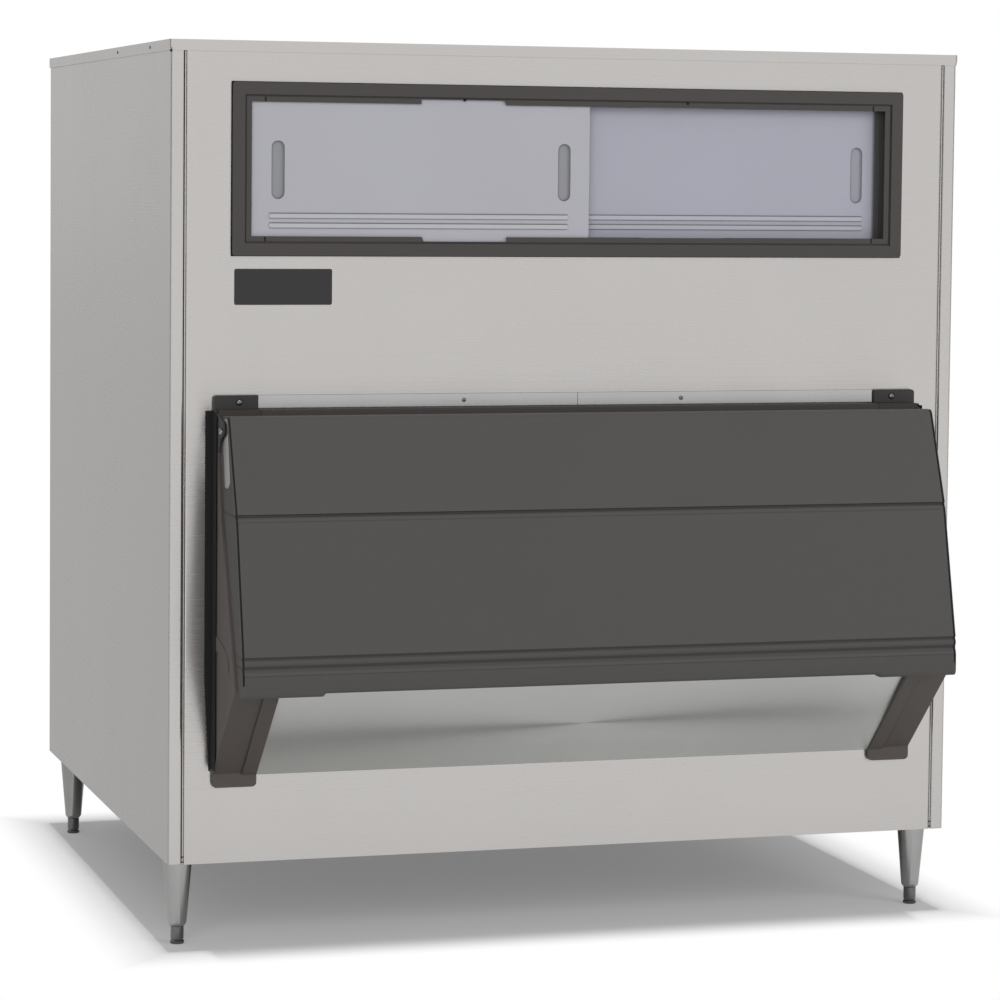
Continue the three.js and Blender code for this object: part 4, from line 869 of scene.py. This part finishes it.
def door_place(x, out, height):
    """A point of the door, from how far out and how high it is."""
    return (x, front_face - out, cabinet_bottom + height)


def door_body():
    """The door's section, drawn from end to end, with its two long top edges and its bottom edge rounded."""
    half = [  # x, how far the bottom is lowered and how far the back is sunk, from the left end to the middle
        (-door_half, pad_drop, 0.0),
        (end_rim - door_half, pad_drop, 0.0),
        (end_rim - door_half, pad_drop, sheet_set),
        (-pad_inner, pad_drop, sheet_set),
        (pad_slant - pad_inner, 0.0, sheet_set),
    ]
    stations = half + [(-x, drop, sink) for x, drop, sink in reversed(half)]
    shape = bmesh.new()
    loops = []
    for x, drop, sink in stations:
        points = [shape.verts.new(door_place(x, *point)) for point in door_section(drop, sink)]
        loops.append([shape.edges.new((a, b)) for a, b in zip(points, points[1:] + points[:1])])
    for end_loop in (loops[0], loops[-1]):
        bmesh.ops.contextual_create(shape, geom=end_loop)
    for near, far in zip(loops, loops[1:]):
        bmesh.ops.bridge_loops(shape, edges=near + far)
    bmesh.ops.remove_doubles(shape, verts=shape.verts, dist=0.00001)
    bmesh.ops.recalc_face_normals(shape, faces=shape.faces)
    bmesh.ops.dissolve_limit(shape, angle_limit=math.radians(0.3), verts=shape.verts, edges=shape.edges)

    def near_point(vert, out, height):
        return abs(front_face - vert.co.y - out) < 0.0004 and abs(vert.co.z - cabinet_bottom - height) < 0.006

    def along(out, height):
        """The edges that run along the door at one point of its section."""
        return [
            edge
            for edge in shape.edges
            if abs(edge.verts[0].co.x - edge.verts[1].co.x) > 0.001
            and all(near_point(vert, out, height) for vert in edge.verts)
        ]

    rounded(shape, along(0.0510, 0.8210), 0.027, 9)
    rounded(shape, along(0.1030, 0.8210), 0.008, 5)
    rounded(shape, along(0.2350, 0.3370), 0.018, 7)
    return shape


def end_seam(side, proud):
    """A strip down one end of the door's front, from proud of the face to sunk below it."""
    line = [(0.1030, 0.8210), (0.1720, 0.6500), (0.2310, 0.4080), (0.2350, 0.3580)]
    sunk, width = 0.0026, 0.0036
    near = side * (door_half - 0.001)
    shape = bmesh.new()
    outer, inner = (
        [shape.verts.new(door_place(near, out + shift, height)) for out, height in line]
        for shift in (proud, -sunk)
    )
    strip = [shape.faces.new(corners) for corners in zip(outer, outer[1:], inner[1:], inner)]
    grown = bmesh.ops.extrude_face_region(shape, geom=strip)["geom"]
    moved = [part for part in grown if isinstance(part, bmesh.types.BMVert)]
    bmesh.ops.translate(shape, verts=moved, vec=(-side * width, 0.0, 0.0))
    bmesh.ops.recalc_face_normals(shape, faces=shape.faces)
    return shape


def plate_pocket(word, side):
    """The hinge plate's own shape, grown a little, which the door's end is sunk to take."""
    shape = copied("door_hinge_plate_" + word)
    centre = middle("door_hinge_plate_" + word)
    bmesh.ops.translate(shape, verts=shape.verts, vec=-centre)
    bmesh.ops.scale(shape, verts=shape.verts, vec=(1.4, 1.012, 1.008))
    bmesh.ops.translate(shape, verts=shape.verts, vec=centre + Vector((side * 0.0003, 0.0, 0.0)))
    return shape


# The door's plastic has painted highlight along its edges and bands of painted shade along its crease and
# beads.
door_plastic = moulded(
    "door_plastic",
    linear(72, 70, 69),
    roughness=0.55,
    stipple=650.0,
    depth=0.0001,
    level=0.3,
    painted_edge_tone=1.12,
    shade_bands=[(0.8078, 0.8125, 0.75), (0.5635, 0.5672, 0.6), (0.5462, 0.5515, 0.6), (0.5335, 0.5350, 0.4)],
)
seam_cuts = [end_seam(side, 0.006) for side, word in sides]
pocket_cuts = [plate_pocket(word, side) for side, word in sides]
door = cut(door_body(), *seam_cuts, *pocket_cuts)
piece("moulded_door", door, door_plastic, "door", "door_plastic", "door_shell")
dress(liner_plastic, "door_liner")
gasket_and_shade_rubber = moulded("gasket_and_shade_rubber", linear(30, 30, 31), roughness=0.8, stipple=500.0, level=0.3)
dress(gasket_and_shade_rubber, "door_gasket")
# Black beads down the ends of the door's front: painted shade and dark reflection where the rounded edge falls
# dark.
for side, word in sides:
    piece("end_seam_shade_" + word, end_seam(side, -0.0012), gasket_and_shade_rubber, "door", "gasket")
plate_steel = steel("plate_steel", linear(190, 188, 186), (3.0, 500.0, 3.0), roughness=0.3)
for word in ("left", "right"):
    node = "door_hinge_plate_" + word
    piece("bright_hinge_plate_" + word, softened(node, 0.0004), plate_steel, "door", "polished", node)


# ---------------------------------------------------------------------------
# Studio
# A floor that keeps the bin's shadow under the bin but glows white away from it, painting out the shadow
# beyond the bin's footprint, white surroundings, a lamp overhead and two large soft lamps in front, with the
# camera where the photograph was taken from.


def seen_rays(finish):
    """1 where the eye or a view through something looks, and 1 where a reflection looks."""
    camera, glossy, through = (finish.node("ShaderNodeLightPath", output=i) for i in (0, 3, 6))
    return camera.math("MAXIMUM", camera, through), glossy


def studio_floor():
    """The floor: matt under the bin with a faint painted glow that lightens its shadow, and glowing plain
    white away from it, which paints out the shadow beyond the footprint; in reflections it glows white in
    front and grey beside and behind the bin.
    """
    cabinet_half_width, cabinet_half_depth, cabinet_middle = 0.762, 0.648, 0.1045
    finish = Finish("studio_floor")
    place = finish.pattern()
    across, along = finish.across(place, 0), finish.across(place, 1)
    aside = across.math("ABSOLUTE", across) - cabinet_half_width
    ahead = along.math("ABSOLUTE", along - cabinet_middle) - cabinet_half_depth
    away = aside.math("MAXIMUM", aside, ahead).between(-0.015, 0.13)
    matt = finish.node("ShaderNodeBsdfDiffuse", None, {0: (0.56, 0.56, 0.56, 1.0)})
    seen, glossy = seen_rays(finish)
    far = glossy * along.between(-1.6, 0.2)
    glow_colour = finish.tint(far, (1.0, 1.0, 1.0, 1.0), (0.50, 0.50, 0.50, 1.0))
    white = finish.node("ShaderNodeEmission", None, {0: glow_colour, 1: 1.0})
    # Painted light: a glow that lightens the shadow under the bin and hides it beyond the bin's footprint.
    share = seen * (away * 0.81 + 0.19) + glossy * away * 0.8
    mixed = finish.node("ShaderNodeMixShader", None, {0: share, 1: matt, 2: white})
    finish.node("ShaderNodeOutputMaterial", None, {0: mixed})
    shape = bmesh.new()
    bmesh.ops.create_grid(shape, x_segments=1, y_segments=1, size=60.0)
    mesh = bpy.data.meshes.new("studio_floor")
    shape.to_mesh(mesh)
    shape.free()
    mesh.materials.append(finish.material)
    floor = bpy.data.objects.new("studio_floor", mesh)
    bpy.context.scene.collection.objects.link(floor)


def surroundings():
    """White all round to the eye; in reflections white in front, dark at the sides and grey behind."""
    sky = Finish("studio", bpy.data.worlds.new("studio"))
    ahead = sky.across(sky.node("ShaderNodeTexCoord", output=0), 1)
    beside, behind = ahead.between(-0.72, -0.5), ahead.between(-0.1, 0.3)
    seen, glossy = seen_rays(sky)
    level = seen * 0.55 + glossy * (0.55 - beside * 0.88 + behind * 0.50) + 0.45
    light = sky.node("ShaderNodeBackground", None, {0: (1.0, 1.0, 1.0, 1.0), 1: level})
    sky.node("ShaderNodeOutputWorld", None, {0: light})
    bpy.context.scene.world = sky.material


def ceiling_light(strength):
    """The lamp straight overhead, whose shadow stays under the bin."""
    lamp = bpy.data.lights.new("ceiling_light", "SUN")
    lamp.energy = strength
    lamp.angle = math.radians(2.0)
    thing = bpy.data.objects.new("ceiling_light", lamp)
    bpy.context.scene.collection.objects.link(thing)
    thing.location = (0.0, 0.0, 4.0)
    thing.visible_glossy = False


def softbox(name, place, aim, size, power):
    """A large soft lamp that looks at a point, and isn't itself seen in the steel."""
    lamp = bpy.data.lights.new(name, "AREA")
    lamp.shape = "RECTANGLE"
    lamp.size, lamp.size_y = size
    lamp.energy = power
    thing = bpy.data.objects.new(name, lamp)
    bpy.context.scene.collection.objects.link(thing)
    thing.location = place
    thing.rotation_euler = (Vector(aim) - Vector(place)).to_track_quat("-Z", "Y").to_euler()
    thing.visible_glossy = False


studio_floor()
surroundings()
ceiling_light(1.9)
cabinet_heart = (0.0, 0.0, 0.9)
softbox("key_softbox", (-2.6, -5.4, 2.9), cabinet_heart, (3.4, 2.6), 105)
softbox("fill_softbox", (3.6, -4.6, 2.6), cabinet_heart, (3.0, 3.0), 90)

# The camera's place, turn and lens are fitted to the cabinet's corners in the photograph.
focal_pixels, picture_pixels = 3497.2, 1000
eye = Vector((-2.0097, -6.7164, 1.4241))
yaw, pitch, roll = (math.radians(angle) for angle in (16.834, -3.762, 0.586))
forward = Vector((math.sin(yaw) * math.cos(pitch), math.cos(yaw) * math.cos(pitch), math.sin(pitch)))
level = Vector((math.cos(yaw), -math.sin(yaw), 0.0))
upright = level.cross(forward)
right = level * math.cos(roll) + upright * math.sin(roll)
above = upright * math.cos(roll) - level * math.sin(roll)
view = bpy.data.cameras.new("photograph_view")
view.sensor_width = 36.0
view.lens = focal_pixels / picture_pixels * view.sensor_width
view.shift_y = -0.1
view.clip_end = 200.0
camera = bpy.data.objects.new("photograph_view", view)
bpy.context.scene.collection.objects.link(camera)
camera.matrix_world = Matrix.Translation(eye) @ Matrix((right, above, -forward)).transposed().to_4x4()
bpy.context.scene.camera = camera
bpy.context.scene.view_settings.view_transform = "Standard"
